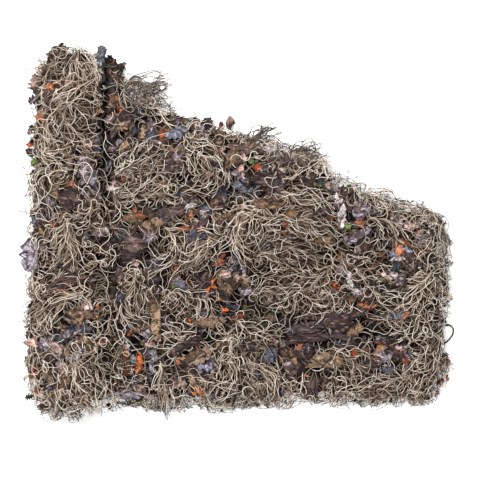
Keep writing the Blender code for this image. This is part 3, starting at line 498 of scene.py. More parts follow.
class Shader:
    """A material with a Principled shader and short ways to add nodes to it."""

    def __init__(self, name, **constants):
        self.material = bpy.data.materials.new(name)
        self.material.use_nodes = True
        self.tree = self.material.node_tree
        self.main = self.tree.nodes["Principled BSDF"]
        for key, value in constants.items():
            self.main.inputs[key.replace("_", " ")].default_value = value

    def node(self, kind, options=None, sockets=None, output=0):
        made = self.tree.nodes.new(kind)
        for key, value in (options or {}).items():
            setattr(made, key, value)
        for key, value in (sockets or {}).items():
            self.put(made.inputs[key], value)
        return Wire(self, made.outputs[output])

    def put(self, socket, value):
        if isinstance(value, Wire):
            self.tree.links.new(value.socket, socket)
        else:
            socket.default_value = value

    def set(self, name, value):
        self.put(self.main.inputs[name], value)

    def coords(self):
        return self.node("ShaderNodeTexCoord", output="Object")

    def attribute(self, name, output="Color"):
        return self.node("ShaderNodeAttribute", {"attribute_name": name}, output=output)

    def noise(self, where, scale, detail=3.0, rough=0.55):
        return self.node("ShaderNodeTexNoise", {"noise_dimensions": "3D"},
                         {"Vector": where, "Scale": scale, "Detail": detail, "Roughness": rough},
                         output="Fac")

    def cells(self, where, scale, feature, output):
        return self.node("ShaderNodeTexVoronoi", {"voronoi_dimensions": "3D", "feature": feature},
                         {"Vector": where, "Scale": scale}, output=output)

    def ramp(self, factor, *stops):
        """A colour ramp whose stops are (position, grey) or (position, colour)."""
        made = self.tree.nodes.new("ShaderNodeValToRGB")
        elements = made.color_ramp.elements
        while len(elements) < len(stops):
            elements.new(0.5)
        for element, (place, colour) in zip(elements, stops):
            element.position = place
            grey = isinstance(colour, (int, float))
            element.color = (colour, colour, colour, 1) if grey else (*colour, 1)
        self.put(made.inputs["Fac"], factor)
        return Wire(self, made.outputs["Color"])

    def mix(self, factor, a, b, mode="MIX"):
        colours = [(*c, 1) if isinstance(c, tuple) else c for c in (a, b)]
        return self.node("ShaderNodeMix", {"data_type": "RGBA", "blend_type": mode},
                         {0: factor, 6: colours[0], 7: colours[1]}, output=2)

    def layered(self, first, *others):
        """Colours multiplied over each other."""
        for other in others:
            first = self.mix(1.0, first, other, "MULTIPLY")
        return first

    def twisted(self, where, scale, distortion):
        """The fine diagonal turns of twisted yarn."""
        return self.node("ShaderNodeTexWave", {"wave_type": "BANDS", "bands_direction": "DIAGONAL"},
                         {"Vector": where, "Scale": scale, "Distortion": distortion}, output="Fac")

    def bump(self, height, strength, distance):
        normal = self.node("ShaderNodeBump", None,
                           {"Height": height, "Strength": strength, "Distance": distance})
        self.set("Normal", normal)


def yarn_material():
    """Dry synthetic yarn: each strand has its own dye and painted shade, with a fine twist."""
    made = Shader("dyed_yarn_painted_shade", Roughness=0.66, Specular_IOR_Level=0.10)
    where = made.coords()
    speckle = made.ramp(made.noise(where, 700.0, 2.0), (0.35, 0.78), (0.65, 1.12))
    made.set("Base Color", made.layered(made.attribute("dye"), speckle))
    made.bump(made.twisted(where, 420.0, 3.0), 0.35, 0.0004)
    return made.material


def cloth_material():
    """Printed cloth: leaf shapes with dark outlines and veins, over streaks of its dye and painted
    shade.
    """
    made = Shader("leaf_cloth", Roughness=0.72, Specular_IOR_Level=0.16, Sheen_Weight=0.04)
    where = made.attribute("cut", "Vector")
    # each cut's dye with its painted shade multiplied in
    dye = made.attribute("dye")
    sway = made.node("ShaderNodeTexNoise", {"noise_dimensions": "3D"},
                     {"Vector": where, "Scale": 75.0, "Detail": 2.0}, output="Color")
    bent = made.node("ShaderNodeVectorMath", {"operation": "MULTIPLY_ADD"},
                     {0: sway, 1: (0.012, 0.012, 0.012), 2: where}, output="Vector")
    motif = made.cells(bent, 40.0, "F1", "Color")
    pick = made.node("ShaderNodeSeparateColor", None, {"Color": motif}, output=0)
    tint = made.ramp(pick, (0.0, (0.30, 0.24, 0.25)), (0.22, (0.70, 0.60, 0.58)),
                     (0.40, (1.0, 1.0, 1.0)), (0.56, (1.35, 1.08, 0.90)),
                     (0.72, (0.95, 1.0, 1.15)), (0.90, (1.5, 1.42, 1.42)))
    outline, vein = [
        made.ramp(made.cells(bent, scale, "DISTANCE_TO_EDGE", "Distance"), (0.02, dark), (full, 1.0))
        for scale, dark, full in ((40.0, 0.22, 0.08), (135.0, 0.45, 0.10))]
    streak = made.ramp(made.noise(where, 150.0, 3.0, 0.6), (0.56, 0.0), (0.66, 1.0))
    blot = made.ramp(made.noise(where, 120.0, 4.0, 0.65), (0.40, 0.42), (0.48, 1.0))
    fleck = made.ramp(made.noise(where, 330.0, 2.0, 0.6), (0.36, 0.70), (0.50, 1.10))
    printed = made.layered(dye, tint, outline, vein, blot, fleck)
    pale = made.layered(dye, (3.7, 3.4, 3.7))
    made.set("Base Color", made.mix(streak * made.attribute("dye", "Alpha"), printed, pale))
    weave = made.noise(where, 1500.0, 1.0)
    crease = made.noise(where, 160.0, 2.0)
    made.bump(crease + weave * 0.12, 0.5, 0.0018)
    return made.material


def painted_shade_bed_material():
    """Ground between the tufts: dark cloth and twine, painted near black for the deep shade there."""
    made = Shader("ground_cloth_painted_shade", Roughness=0.95, Specular_IOR_Level=0.02)
    where = made.coords()
    patch = made.cells(where, 62.0, "F1", "Color")
    tone = made.node("ShaderNodeSeparateColor", None, {"Color": patch}, output=0)
    # near-black cloth colours: the garnish's own dark colours with painted shade
    dyes = made.ramp(tone, (0.0, (0.004, 0.002, 0.002)), (0.35, (0.010, 0.006, 0.004)),
                     (0.6, (0.012, 0.008, 0.007)), (0.8, (0.021, 0.012, 0.008)),
                     (1.0, (0.008, 0.008, 0.005)))
    grain = made.ramp(made.noise(where, 300.0), (0.35, 0.45), (0.65, 1.2))
    made.set("Base Color", made.layered(dyes, grain))
    made.bump(made.noise(where, 120.0, 4.0), 0.8, 0.003)
    return made.material


def twine_material(name, colour):
    """Twisted twine: fine diagonal turns and a little dust on them."""
    made = Shader(name, Roughness=0.7, Specular_IOR_Level=0.12)
    where = made.coords()
    dust = made.ramp(made.noise(where, 260.0), (0.45, 0.0), (0.75, 1.0))
    made.set("Base Color", made.mix(dust * 0.4, colour, (0.16, 0.15, 0.12)))
    made.bump(made.twisted(where, 300.0, 1.0), 0.6, 0.0005)
    return made.material


# ---- height grids --------------------------------------------------------
class Grid:
    """A table of numbers over the floor, in millimetres, read at or between its points."""

    def __init__(self, cell, fill):
        self.cell = cell
        self.low = CAD_LOW - GRID_MARGIN
        span = CAD_HIGH + GRID_MARGIN - self.low
        self.z = np.full(np.ceil(span / cell).astype(int) + 1, float(fill))

    def index(self, x, y):
        i = np.rint((np.asarray(x) - self.low[0]) / self.cell).astype(int)
        j = np.rint((np.asarray(y) - self.low[1]) / self.cell).astype(int)
        return np.clip(i, 0, self.z.shape[0] - 1), np.clip(j, 0, self.z.shape[1] - 1)

    def near(self, x, y):
        return self.z[self.index(x, y)]

    def at(self, x, y):
        i = np.clip((np.asarray(x) - self.low[0]) / self.cell, 0, self.z.shape[0] - 1.001)
        j = np.clip((np.asarray(y) - self.low[1]) / self.cell, 0, self.z.shape[1] - 1.001)
        a, b = i.astype(int), j.astype(int)
        u, v = i - a, j - b
        t = self.z
        return ((1 - u) * (1 - v) * t[a, b] + u * (1 - v) * t[a + 1, b]
                + (1 - u) * v * t[a, b + 1] + u * v * t[a + 1, b + 1])

    def around(self):
        """The grid moved by one point in each of the four ways."""
        return [np.roll(self.z, s, a) for s in (-1, 1) for a in (0, 1)]

    def lay(self, points, tris):
        """Writes triangles into the grid, keeping the lowest."""
        p, q, r = (points[[t[k] for t in tris]] for k in range(3))
        for u in np.linspace(0, 1, 4):
            for v in np.linspace(0, 1 - u, 4):
                spots = p + (q - p) * u + (r - p) * v
                np.minimum.at(self.z, self.index(spots[:, 0], spots[:, 1]), spots[:, 2])


class Relief(Grid):
    """The top of a slab of yarn, falling to the floor outside its rim."""

    def __init__(self, node, fall, least, body_top):
        super().__init__(CELL, -NOTHING)
        mesh = frame["nodes"][node].data
        mesh.calc_loop_triangles()
        tree = BVHTree.FromPolygons([v.co for v in mesh.vertices],
                                    [tuple(t.vertices) for t in mesh.loop_triangles])
        for i, j in np.ndindex(*self.z.shape):
            spot = Vector((*(self.low + np.array([i, j]) * CELL), RAYS_FROM)) * MM
            hit = tree.ray_cast(spot, Vector((0, 0, -1)))[0]
            if hit is not None:
                self.z[i, j] = hit.z / MM
        self.foot = self.z > 0
        self.inside = self.z > body_top
        self.raised = node == "tufts_strip"
        for _ in range(SKIRT_CELLS):
            self.z = np.maximum(self.z, np.maximum.reduce(self.around()) - fall)
        self.z = np.maximum(self.z, least)
        for _ in range(2):
            self.z = (2 * self.z + sum(self.around())) / 6

    def holds(self, x, y):
        """Whether points lie on the slab itself."""
        return self.inside[self.index(x, y)]


def rim_distance(reliefs):
    """How far each place lies outside the footprint of the slabs."""
    grid = Grid(CELL, NOTHING)
    grid.z[np.logical_or.reduce([r.foot for r in reliefs])] = 0.0
    for _ in range(RIM_CELLS):
        grid.z = np.minimum(grid.z, np.minimum.reduce(grid.around()) + CELL)
    return grid


def shared_material(name, make):
    return bpy.data.materials.get(name) or make()


# ---- meshes --------------------------------------------------------------
def finish_piece(obj, material, slot, *nodes):
    if material is not None:
        obj.data.materials.clear()
        obj.data.materials.append(material)
    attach(obj, BODY)
    if nodes:
        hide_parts(*nodes)
    return obj


def link_object(name, data):
    obj = bpy.data.objects.new(name, data)
    bpy.context.scene.collection.objects.link(obj)
    return obj


def link_mesh(name, points, faces, edges=()):
    mesh = bpy.data.meshes.new(name)
    mesh.from_pydata([tuple(p) for p in points], list(edges), [tuple(f) for f in faces])
    mesh.update()
    return link_object(name, mesh)


def add_attribute(mesh, name, kind, values):
    made = mesh.attributes.new(name, kind, "POINT")
    key = {"FLOAT": "value", "FLOAT_COLOR": "color", "FLOAT_VECTOR": "vector"}[kind]
    made.data.foreach_set(key, np.asarray(values, np.float32).ravel())


def sweep_tree(name, material, knots=False):
    """Nodes that turn polylines into tubes, and put a knot on each marked point."""
    tree = bpy.data.node_groups.new(name, "GeometryNodeTree")
    face = tree.interface
    face.new_socket("Geometry", in_out="INPUT", socket_type="NodeSocketGeometry")
    face.new_socket("Radius", in_out="INPUT", socket_type="NodeSocketFloat")
    face.new_socket("Sides", in_out="INPUT", socket_type="NodeSocketInt")
    face.new_socket("Geometry", in_out="OUTPUT", socket_type="NodeSocketGeometry")

    def add(kind, sockets=None, output=0, **options):
        """Adds a node, fills its sockets with values or links, and gives one of its outputs."""
        made = tree.nodes.new(kind)
        for key, value in options.items():
            setattr(made, key, value)
        for key, value in (sockets or {}).items():
            if isinstance(value, bpy.types.NodeSocket):
                tree.links.new(value, made.inputs[key])
            else:
                made.inputs[key].default_value = value
        return made.outputs[output] if made.outputs else None

    source = tree.nodes.new("NodeGroupInput").outputs
    curve = add("GeometryNodeMeshToCurve", {"Mesh": source["Geometry"]})
    taper = add("GeometryNodeInputNamedAttribute", {"Name": "taper"}, data_type="FLOAT")
    radius = add("ShaderNodeMath", {0: source["Radius"], 1: taper}, operation="MULTIPLY")
    ring = add("GeometryNodeCurvePrimitiveCircle", {"Resolution": source["Sides"], "Radius": 1.0})
    sized = add("GeometryNodeSetCurveRadius", {"Curve": curve, "Radius": radius})
    tube = add("GeometryNodeCurveToMesh", {"Curve": sized, "Profile Curve": ring, "Scale": radius,
                                           "Fill Caps": True})
    joined = add("GeometryNodeJoinGeometry", {0: tube})
    if knots:
        mark = add("GeometryNodeInputNamedAttribute", {"Name": "knot"}, data_type="FLOAT")
        chosen = add("FunctionNodeCompare", {0: mark, 1: 0.5}, operation="GREATER_THAN")
        size = add("ShaderNodeMath", {0: source["Radius"], 1: KNOT_SHARE}, operation="MULTIPLY")
        ball = add("GeometryNodeMeshIcoSphere", {"Subdivisions": 1, "Radius": size})
        spread = add("GeometryNodeInstanceOnPoints",
                     {"Points": source["Geometry"], "Selection": chosen, "Instance": ball})
        tree.links.new(spread, joined.node.inputs[0])
    smooth = add("GeometryNodeSetShadeSmooth", {"Geometry": joined})
    real = add("GeometryNodeRealizeInstances", {"Geometry": smooth})
    painted = add("GeometryNodeSetMaterial", {"Geometry": real, "Material": material})
    add("NodeGroupOutput", {"Geometry": painted})
    return tree


def swept(name, tree, strands, radius, sides, dyes=None, tapers=None, knots=None):
    """A plain mesh of tubes along strands, an array of (strand, point, xyz) or a list of such."""
    counts = [len(strand) for strand in strands]
    points = np.concatenate([strand[:, :3] for strand in strands]) * MM
    starts = np.concatenate([[0], np.cumsum(counts)])
    edges = [(a + k, a + k + 1) for a, n in zip(starts, counts) for k in range(n - 1)]
    guide = link_mesh(name + "_guide", points, [], edges)
    total = len(points)
    taper = np.ones(total) if tapers is None else np.concatenate(tapers)
    add_attribute(guide.data, "taper", "FLOAT", taper)
    if knots is not None:
        add_attribute(guide.data, "knot", "FLOAT", np.concatenate(knots))
    if dyes is not None:
        add_attribute(guide.data, "dye", "FLOAT_COLOR", np.c_[np.concatenate(dyes), np.ones(total)])
    modifier = guide.modifiers.new("sweep", "NODES")
    modifier.node_group = tree
    values = {"Radius": radius, "Sides": sides}
    for item in tree.interface.items_tree:
        if item.item_type == "SOCKET" and item.in_out == "INPUT" and item.name in values:
            modifier[item.identifier] = values[item.name]
    ready = guide.evaluated_get(bpy.context.evaluated_depsgraph_get())
    mesh = bpy.data.meshes.new_from_object(ready)
    mesh.name = name
    bpy.data.objects.remove(guide)
    return link_object(name, mesh)


# ---- yarn ----------------------------------------------------------------
def smooth_path(route, count):
    """Even points on a Catmull-Rom curve through the route."""
    spots = [np.array(p, float) for p in route]
    spots = [2 * spots[0] - spots[1]] + spots + [2 * spots[-1] - spots[-2]]
    dense = []
    for i in range(1, len(spots) - 2):
        before, a, b, after = spots[i - 1:i + 3]
        for t in np.linspace(0, 1, 16, endpoint=False):
            dense.append(0.5 * (2 * a + (b - before) * t
                                + (2 * before - 5 * a + 4 * b - after) * t * t
                                + (3 * a - 3 * b + after - before) * t ** 3))
    dense = np.array(dense + [spots[-2]])
    along = np.concatenate([[0], np.cumsum(np.linalg.norm(np.diff(dense, axis=0), axis=1))])
    wanted = np.linspace(0, along[-1], count)
    even = [np.interp(wanted, along, dense[:, k]) for k in range(dense.shape[1])]
    return np.stack(even, 1), along[-1]


def step_to(angle):
    """One millimetre in the direction of an angle."""
    return np.array([math.cos(angle), math.sin(angle)])


def spun_dyes(rng, count, shade=1.0):
    colours = np.array([dye for dye, _ in YARN_DYES])
    shares = np.array([share for _, share in YARN_DYES])
    picked = colours[rng.choice(len(colours), count, p=shares / shares.sum())]
    return picked * rng.uniform(0.68, 1.22, (count, 1)) * shade


def run_strands(rng, route, width, count, tangle, tone=1.0, stop=NEVER, stride=STRAND_STEP):
    """Strands that follow a route loosely, each with its own waves and curls.

    Their third number is a height above whatever lies under them, and the fourth a tone. A strand
    ends where its share of the route passes stop."""
    path, length = smooth_path(route, PATH_POINTS)
    table = np.arange(PATH_POINTS)
    heading = np.unwrap(np.arctan2(np.gradient(path[:, 1]), np.gradient(path[:, 0])))
    side = np.stack([-np.sin(heading), np.cos(heading)], 1)
    offset = rng.normal(0, OFF_MIDDLE, count).clip(-OFF_MOST, OFF_MOST)
    at = rng.uniform(*BEGINS, count)
    step = stride * rng.uniform(*STEPS_VARY, count)
    spread = rng.uniform(*FANNED, count)
    curl = np.zeros(count)
    loops = rng.random(count) < LOOPED * tangle
    curl[loops] = rng.choice([-1, 1], loops.sum()) * rng.uniform(*LOOP_CURL, loops.sum())
    hooked = ~loops & (rng.random(count) < HOOKED + HOOKED_MORE * tangle)
    hook = rng.choice([-1, 1], count) * rng.uniform(*HOOK_CURL, count) * hooked
    hook_start = STRAND_POINTS * rng.uniform(*HOOK_BEGINS, count)
    locks = max(2, count // LOCK_STRANDS)
    across = (offset + OFF_MOST) / (2 * OFF_MOST) * (locks - 1)
    lock = (across + rng.normal(0, LOCK_MIXED, count)).round().astype(int) % locks
    sway = np.zeros(locks)
    bend, turn, rise = np.zeros(count), rng.normal(0, FIRST_TURN, count), rng.normal(0, 1, count)

    def on_path(column, share):
        return np.interp(share.clip(0, 1) * (PATH_POINTS - 1), table, column)

    first = on_path(heading, at)
    where = np.stack([on_path(path[:, k], at) for k in (0, 1)], 1)
    where += np.stack([-np.sin(first), np.cos(first)], 1) * (offset * width * spread)[:, None]
    mound = MOUND_TOP * (1 - (2 * offset) ** 2) + MOUND_BASE
    high = mound + rng.uniform(-PILED, PILED, count)
    place = np.empty((count, STRAND_POINTS, 4))
    place[..., 3] = tone
    ends = np.full(count, STRAND_POINTS)
    for k in range(STRAND_POINTS):
        sway = SWAY_KEPT * sway + rng.normal(0, SWAY_MORE * tangle + SWAY_LEAST, locks)
        bend = BEND_KEPT * bend + rng.normal(0, BEND_MORE * tangle + BEND_LEAST, count)
        curve = curl * (k < hook_start) + hook * (k > hook_start)
        turn = np.where(loops, 1.0, TURN_KEPT) * turn + bend + sway[lock] + curve
        rise = RISE_KEPT * rise + rng.normal(0, RISE_MORE, count)
        arch = ARCH * math.sin(math.pi * k / (STRAND_POINTS - 1))
        place[:, k, :2] = where
        place[:, k, 2] = high + arch + RISE_SHARE * rise
        at = at + step / length
        ends = np.where((at > stop) & (ends == STRAND_POINTS), max(k, STOP_POINTS), ends)
        on = at.clip(0, 1)
        goal = np.stack([on_path(path[:, a], on) for a in (0, 1)], 1)
        lean = np.stack([on_path(side[:, a], on) for a in (0, 1)], 1)
        goal += lean * (offset * width * (spread + (1 - spread) * on))[:, None]
        way = on_path(heading, on) + turn
        past = np.clip(1 - PULL_FADE * np.maximum(0, at - 1.0), 0, 1)[:, None]
        free = np.where(loops | (k > hook_start), FREE_PULL, 1.0)[:, None]
        where = where + np.stack([np.cos(way), np.sin(way)], 1) * step[:, None]
        where = where + (goal - where) * PULL * past * free
    return place if stop == NEVER else [strand[:end] for strand, end in zip(place, ends)]


def crevice_wave(y):
    """How far the dark gap wanders from a straight line."""
    return sum(size * np.sin(y / length + start) for size, length, start in CREVICE_WAVES)


def in_open(x, y):
    """Whether a place lies in the bare spot that only wiry tufts cross."""
    return np.hypot(x - OPEN_SPOT[0], y - OPEN_SPOT[1]) < OPEN_REACH


def settle(rng, place, relief, cap, over_share, trims, depth=0.0):
    """Lays strands on the relief, under cloth, over the floor, and ends them near the rim."""
    x, y = place[..., 0], place[..., 1]
    z = relief.at(x, y) + place[..., 2] + depth
    over = rng.random(len(place)) < over_share
    z = np.where(over[:, None], z, np.minimum(z, cap.near(x, y) - UNDER_GAP))
    z[:, 1:-1] = 0.25 * z[:, :-2] + 0.5 * z[:, 1:-1] + 0.25 * z[:, 2:]
    place[..., 2] = np.clip(z, YARN_R + REST_GAP, TOP_Z)
    past = trims.near(x, y)
    crosses = (rng.random(len(place)) < CROSSING)[:, None]
    shifted = x - crevice_wave(y) - rng.normal(0, CREVICE_FRAY, x.shape)
    in_gap = shifted > CREVICE[0] if relief.raised else shifted < CREVICE[1]
    past = np.where((y > CREVICE_Y) & in_gap & ~crosses, NOTHING, past)
    allowed = rng.choice(OVERHANGS, len(place), p=OVERHANG_SHARES)
    allowed += np.where((y.min(1) < LOOSE_BELOW) | (x.max(1) > LOOSE_RIGHT), LOOSE_MORE, 0.0)
    kept = []
    for strand, out, limit in zip(place, past, allowed):
        away = np.flatnonzero(out > limit)
        end = away[0] if len(away) else len(strand) - rng.integers(0, ENDS_LOST)
        if end > LEAST_POINTS:
            kept.append(strand[:end])
    return kept


def fill_strands(rng, relief, cap, trims, low_x, high_x):
    """Small low tufts over the whole ground, their lie turning slowly from place to place."""
    strands = []
    start = CAD_LOW + FILL_START
    for x in np.arange(start[0], CAD_HIGH[0], FILL_STEP):
        for y in np.arange(start[1], CAD_HIGH[1], FILL_STEP):
            spot = np.array([x, y]) + rng.uniform(-FILL_JITTER, FILL_JITTER, 2)
            patch = noise.noise(Vector((x / FILL_PATCH, y / FILL_PATCH, 3.1)))
            way = FILL_TURN * patch + rng.normal(0, FILL_STRAY)
            if not low_x <= spot[0] < high_x or not relief.holds(*spot) or in_open(*spot):
                continue
            reach = rng.uniform(*FILL_REACHES)
            bend = rng.normal(0, FILL_BEND)
            middle = spot + 0.5 * reach * step_to(way)
            end = middle + 0.5 * reach * step_to(way + bend)
            # painted shade on the low ground tufts, carried in their tone
            laid = run_strands(rng, (spot, middle, end), rng.uniform(*FILL_WIDTHS), FILL_STRANDS,
                               rng.uniform(*FILL_TANGLES), FILL_PAINTED_SHADE * rng.uniform(*FILL_TONES))
            strands += settle(rng, laid, relief, cap, FILL_OVER, trims, -FILL_SINK)
    return strands


def rim_strands(rng, relief, cap, trims, count, low_x, high_x):
    """Small tufts that start inside the rim, run out to it and curl along it."""
    moved = [np.roll(relief.foot, step, axis) for step in (-2, 2) for axis in (0, 1)]
    cells = np.argwhere(relief.foot & ~np.minimum.reduce(moved))
    strands = []
    for _ in range(count):
        i, j = cells[rng.integers(len(cells))]
        spot = relief.low + np.array([i, j]) * CELL + rng.uniform(-3, 3, 2)
        if not low_x <= spot[0] < high_x or in_open(*spot):
            continue
        across = trims.z[i + 3, j] - trims.z[i - 3, j]
        upward = trims.z[i, j + 3] - trims.z[i, j - 3]
        way = math.atan2(upward, across) + rng.normal(0, RIM_STRAY)
        spot = spot - RIM_INSET * step_to(way)
        inward = spot - rng.uniform(*RIM_BACK) * step_to(way)
        turn = way + rng.choice([-1, 1]) * rng.uniform(*RIM_TURN)
        bend = spot + rng.uniform(*RIM_ALONG) * step_to(turn)
        laid = run_strands(rng, (inward, spot, bend), rng.uniform(*RIM_WIDTHS), RIM_STRANDS,
                           RIM_TANGLE, rng.uniform(*RIM_TONES))
        strands += settle(rng, laid, relief, cap, RIM_OVER, trims)
    return strands


def hung(place, side):
    """Takes a flat chart (down, along, out) down the fold's outer side, its ends or its crease."""
    down, along, out = place[..., 0], place[..., 1], place[..., 2]
    if side == "turn":
        angle = HUNG_START + down / HUNG_R
        reach = TURN_R + HUNG_OFF + out
        x, y = TURN_X - reach * np.sin(angle), along
        z = MAIN_MID + TURN_R + reach * np.cos(angle)
    elif side == "crease":
        x, y = STRIP_EDGE - 3 + 0.8 * crevice_wave(along) + 0.4 * out, along
        z = TOP_MID + 1 - np.maximum(down, 0)
    else:
        x, y = along, (1 if side == "top" else -1) * (NET_HALF_UP + 2 + 0.7 * out)
        z = TOP_MID - down
    return np.stack([x, y, np.maximum(z, YARN_R + REST_GAP)], -1)


def hung_spots(rng, step):
    """Places along the folded layers' outer side, crease and two ends: side, height and where."""
    ends = (HUNG_LEFT, STRIP_EDGE)
    spans = {"turn": (HUNG_BOTTOM, HUNG_TOP), "crease": (HUNG_BOTTOM, NET_HALF_UP),
             "top": ends, "bottom": ends}
    for side, span in spans.items():
        for along in np.arange(*span, step):
            yield side, SIDE_HEIGHTS[side], along + rng.uniform(-HUNG_STRAY, HUNG_STRAY)


def fringe_strands(rng):
    """Strands that hang down the folded layers' sides and ends."""
    strands = []
    for side, height, along in hung_spots(rng, FRINGE_STEP):
        start = rng.uniform(*FRINGE_STARTS)
        middle, tip = (along + rng.normal(0, swing) for swing in FRINGE_SWINGS)
        route = ((start, along), (0.5 * height, middle), (height, tip))
        laid = run_strands(rng, route, FRINGE_WIDTH, FRINGE_STRANDS, FRINGE_TANGLE,
                           rng.uniform(*FRINGE_TONES_AND_SHADE))
        for strand in laid:
            strand[:, 2] = (0.6 * strand[:, 2] + 3).clip(*FRINGE_OUT)
            deep = np.flatnonzero(strand[:, 0] > height + rng.uniform(0, 8))
            end = max(5, deep[0]) if len(deep) else rng.integers(FRINGE_POINTS, len(strand) + 1)
            strand = strand[:end]
            # painted shade: darker where a strand lies close to the layer, and darkest down the crease
            tone = strand[:, 3] * np.clip(0.35 + 0.08 * strand[:, 2], 0.2, 1.0)
            tone = tone * (CREASE_PAINTED_SHADE if side == "crease" else 1.0)
            strands.append(np.c_[hung(strand, side), tone])
    dyes = [dye * strand[:, 3:] for strand, dye in zip(strands, spun_dyes(rng, len(strands)))]
    return strands, dyes


def top_grid(strands):
    """The mean height of the uppermost strands round each place."""
    top = Grid(FINE_CELL, -NOTHING)
    for strand in strands:
        for t in (0.0, 0.33, 0.67):
            p = strand[:-1] * (1 - t) + strand[1:] * t
            np.maximum.at(top.z, top.index(p[:, 0], p[:, 1]), p[:, 2])
    full = (top.z > 0).astype(float)
    total, weight = top.z * full, full
    moves = range(-TOP_REACH, TOP_REACH + 1)
    for axis in (0, 1):
        total = sum(np.roll(total, k, axis) for k in moves)
        weight = sum(np.roll(weight, k, axis) for k in moves)
    top.z = np.where(weight > 0, total / np.maximum(weight, 1), -NOTHING)
    return top


def thinned(strand):
    """Leaves out every other point where the strand runs nearly straight."""
    inner = strand[1:-1, :3]
    off = np.linalg.norm(inner - 0.5 * (strand[:-2, :3] + strand[2:, :3]), axis=1)
    keep = np.ones(len(strand), bool)
    keep[1:-1] = (off > STRAIGHT) | (np.arange(len(off)) % 2 == 1)
    return strand[keep]


def seen_parts(strands, top, rim):
    """Drops strands that lie wholly under others, and the buried ends of the rest."""
    kept = []
    for strand in strands:
        x, y = strand[:, 0], strand[:, 1]
        high = top.at(x, y) - strand[:, 2] < HIDDEN_DEPTH
        shown = np.flatnonzero(high | (rim.near(x, y) > 0))
        if len(shown) > SEEN_LEAST:
            seen = strand[max(shown[0] - SEEN_MORE, 0):shown[-1] + SEEN_MORE + 1]
            kept.append(thinned(seen))
    return kept


def depth_shade(points, top, level, depth, least):
    """Painted shade: full on what stands out, level at the mean surface, dark on what lies beneath
    strands.
    """
    under = top.at(points[:, 0], points[:, 1]) - points[:, 2]
    return np.clip(level - under / depth, least, 1.0)[:, None] ** SHADE_POWERS


def strand_dyes_and_shade(rng, strands, top, rim):
    # each strand's dye times its tone and the painted shade of the strands over it
    dyes = []
    for strand, dye in zip(strands, spun_dyes(rng, len(strands))):
        shade = depth_shade(strand, top, SHADE_LEVEL, SHADE_DEPTH, SHADE_LEAST)
        past = np.clip(rim.at(strand[:, 0], strand[:, 1]) / RIM_FADE, 0, 1)
        tone = strand[:, 3] * (1 - past * (1 - RIM_SHADE))
        dyes.append(np.minimum(dye * shade * tone[:, None], PALEST))
    return dyes


def add_yarn(name, strands, node, made):
    """Joins strands into pieces of a bounded size."""
    rng = np.random.default_rng(SEED + len(name))
    strands = sorted(strands, key=lambda s: (s[0][0], s[0][1]))
    pieces = max(1, math.ceil(len(strands) / PIECE_STRANDS))
    tree = sweep_tree(name, shared_material("dyed_yarn_painted_shade", yarn_material))
    for p in range(pieces):
        chosen = strands[p * len(strands) // pieces:(p + 1) * len(strands) // pieces]
        # dyes with the painted shade of deep strands multiplied in
        dyes = strand_dyes_and_shade(rng, chosen, made["top"], made["rim"])
        tapers = [rng.uniform(*UNEVEN) * np.clip(np.linspace(*TAPER_FALL, len(s)), *TAPER_RANGE)
                  for s in chosen]
        radius = settings().strand_radius
        obj = swept(f"{name}_{p + 1}", tree, chosen, radius, YARN_SIDES, dyes, tapers)
        finish_piece(obj, None, "yarn", node)


def add_fringe():
    """Strands on the fold's outer side and ends, under the raised strip's own tufts."""
    rng = np.random.default_rng(SEED + 5)
    strands, dyes = fringe_strands(rng)
    tree = sweep_tree("yarn_fringe", shared_material("dyed_yarn_painted_shade", yarn_material))
    tapers = [np.full(len(s), rng.uniform(*UNEVEN)) for s in strands]
    obj = swept("yarn_fringe", tree, strands, settings().strand_radius, YARN_SIDES, dyes, tapers)
    finish_piece(obj, None, "yarn", "tufts_strip")


def add_whiskers(strands):
    """Stiff loose tufts that stand out against the floor."""
    rng = np.random.default_rng(SEED + 3)
    tree = sweep_tree("yarn_whiskers", shared_material("dyed_yarn_painted_shade", yarn_material))
    dyes = [np.tile(np.array(WHISKER_DYE) * rng.choice(WHISKER_TONES), (len(s), 1)) for s in strands]
    tapers = [np.linspace(*WHISKER_TAPER, len(s)) for s in strands]
    obj = swept("yarn_whiskers", tree, strands, WHISKER_R * MM, WHISKER_SIDES, dyes, tapers)
    finish_piece(obj, None, "yarn")


# ---- cloth ---------------------------------------------------------------
def leaf_outline(rng, length, width, kind):
    """Closed outline of a cut, its long way along x."""
    if kind == "oak":
        lobes = 3 if length < OAK_SHORT else 4
        sides = []
        for sign in (-1, 1):
            side = []
            for k in range(lobes):
                for part, high in OAK_LOBE:
                    t = 0.06 + 0.86 * (k + part + rng.uniform(-0.06, 0.06)) / lobes
                    swell = math.sin(math.pi * min(t + 0.08, 1.0)) ** 0.5
                    side.append((length * (t - 0.5), sign * 0.5 * width * swell * high
                                 * rng.uniform(0.75, 1.2)))
            sides.append(side)
        return np.array([(-0.5 * length, 0)] + sides[0] + [(0.5 * length, 0)] + sides[1][::-1])
    count = 18 if length < RAG_SHORT else 28
    turns = np.arange(count) / count * math.tau
    radius = np.full(count, 0.84)
    if kind == "star":
        radius += 0.20 * np.cos(5 * turns + rng.uniform(0, 6))
    for wave in RAG_WAVES:
        radius += rng.normal(0, 0.16 / wave ** 0.5) * np.cos(wave * turns + rng.uniform(0, 6))
    teeth = np.where(np.arange(count) % 2, -0.5, 1.2) * RAG_TEETH
    radius *= 1 + teeth * rng.uniform(0.0, 1.0, count) ** 2
    radius = radius.clip(0.42, 1.2) * 0.5
    return np.stack([length * radius * np.cos(turns), width * radius * np.sin(turns)], 1)


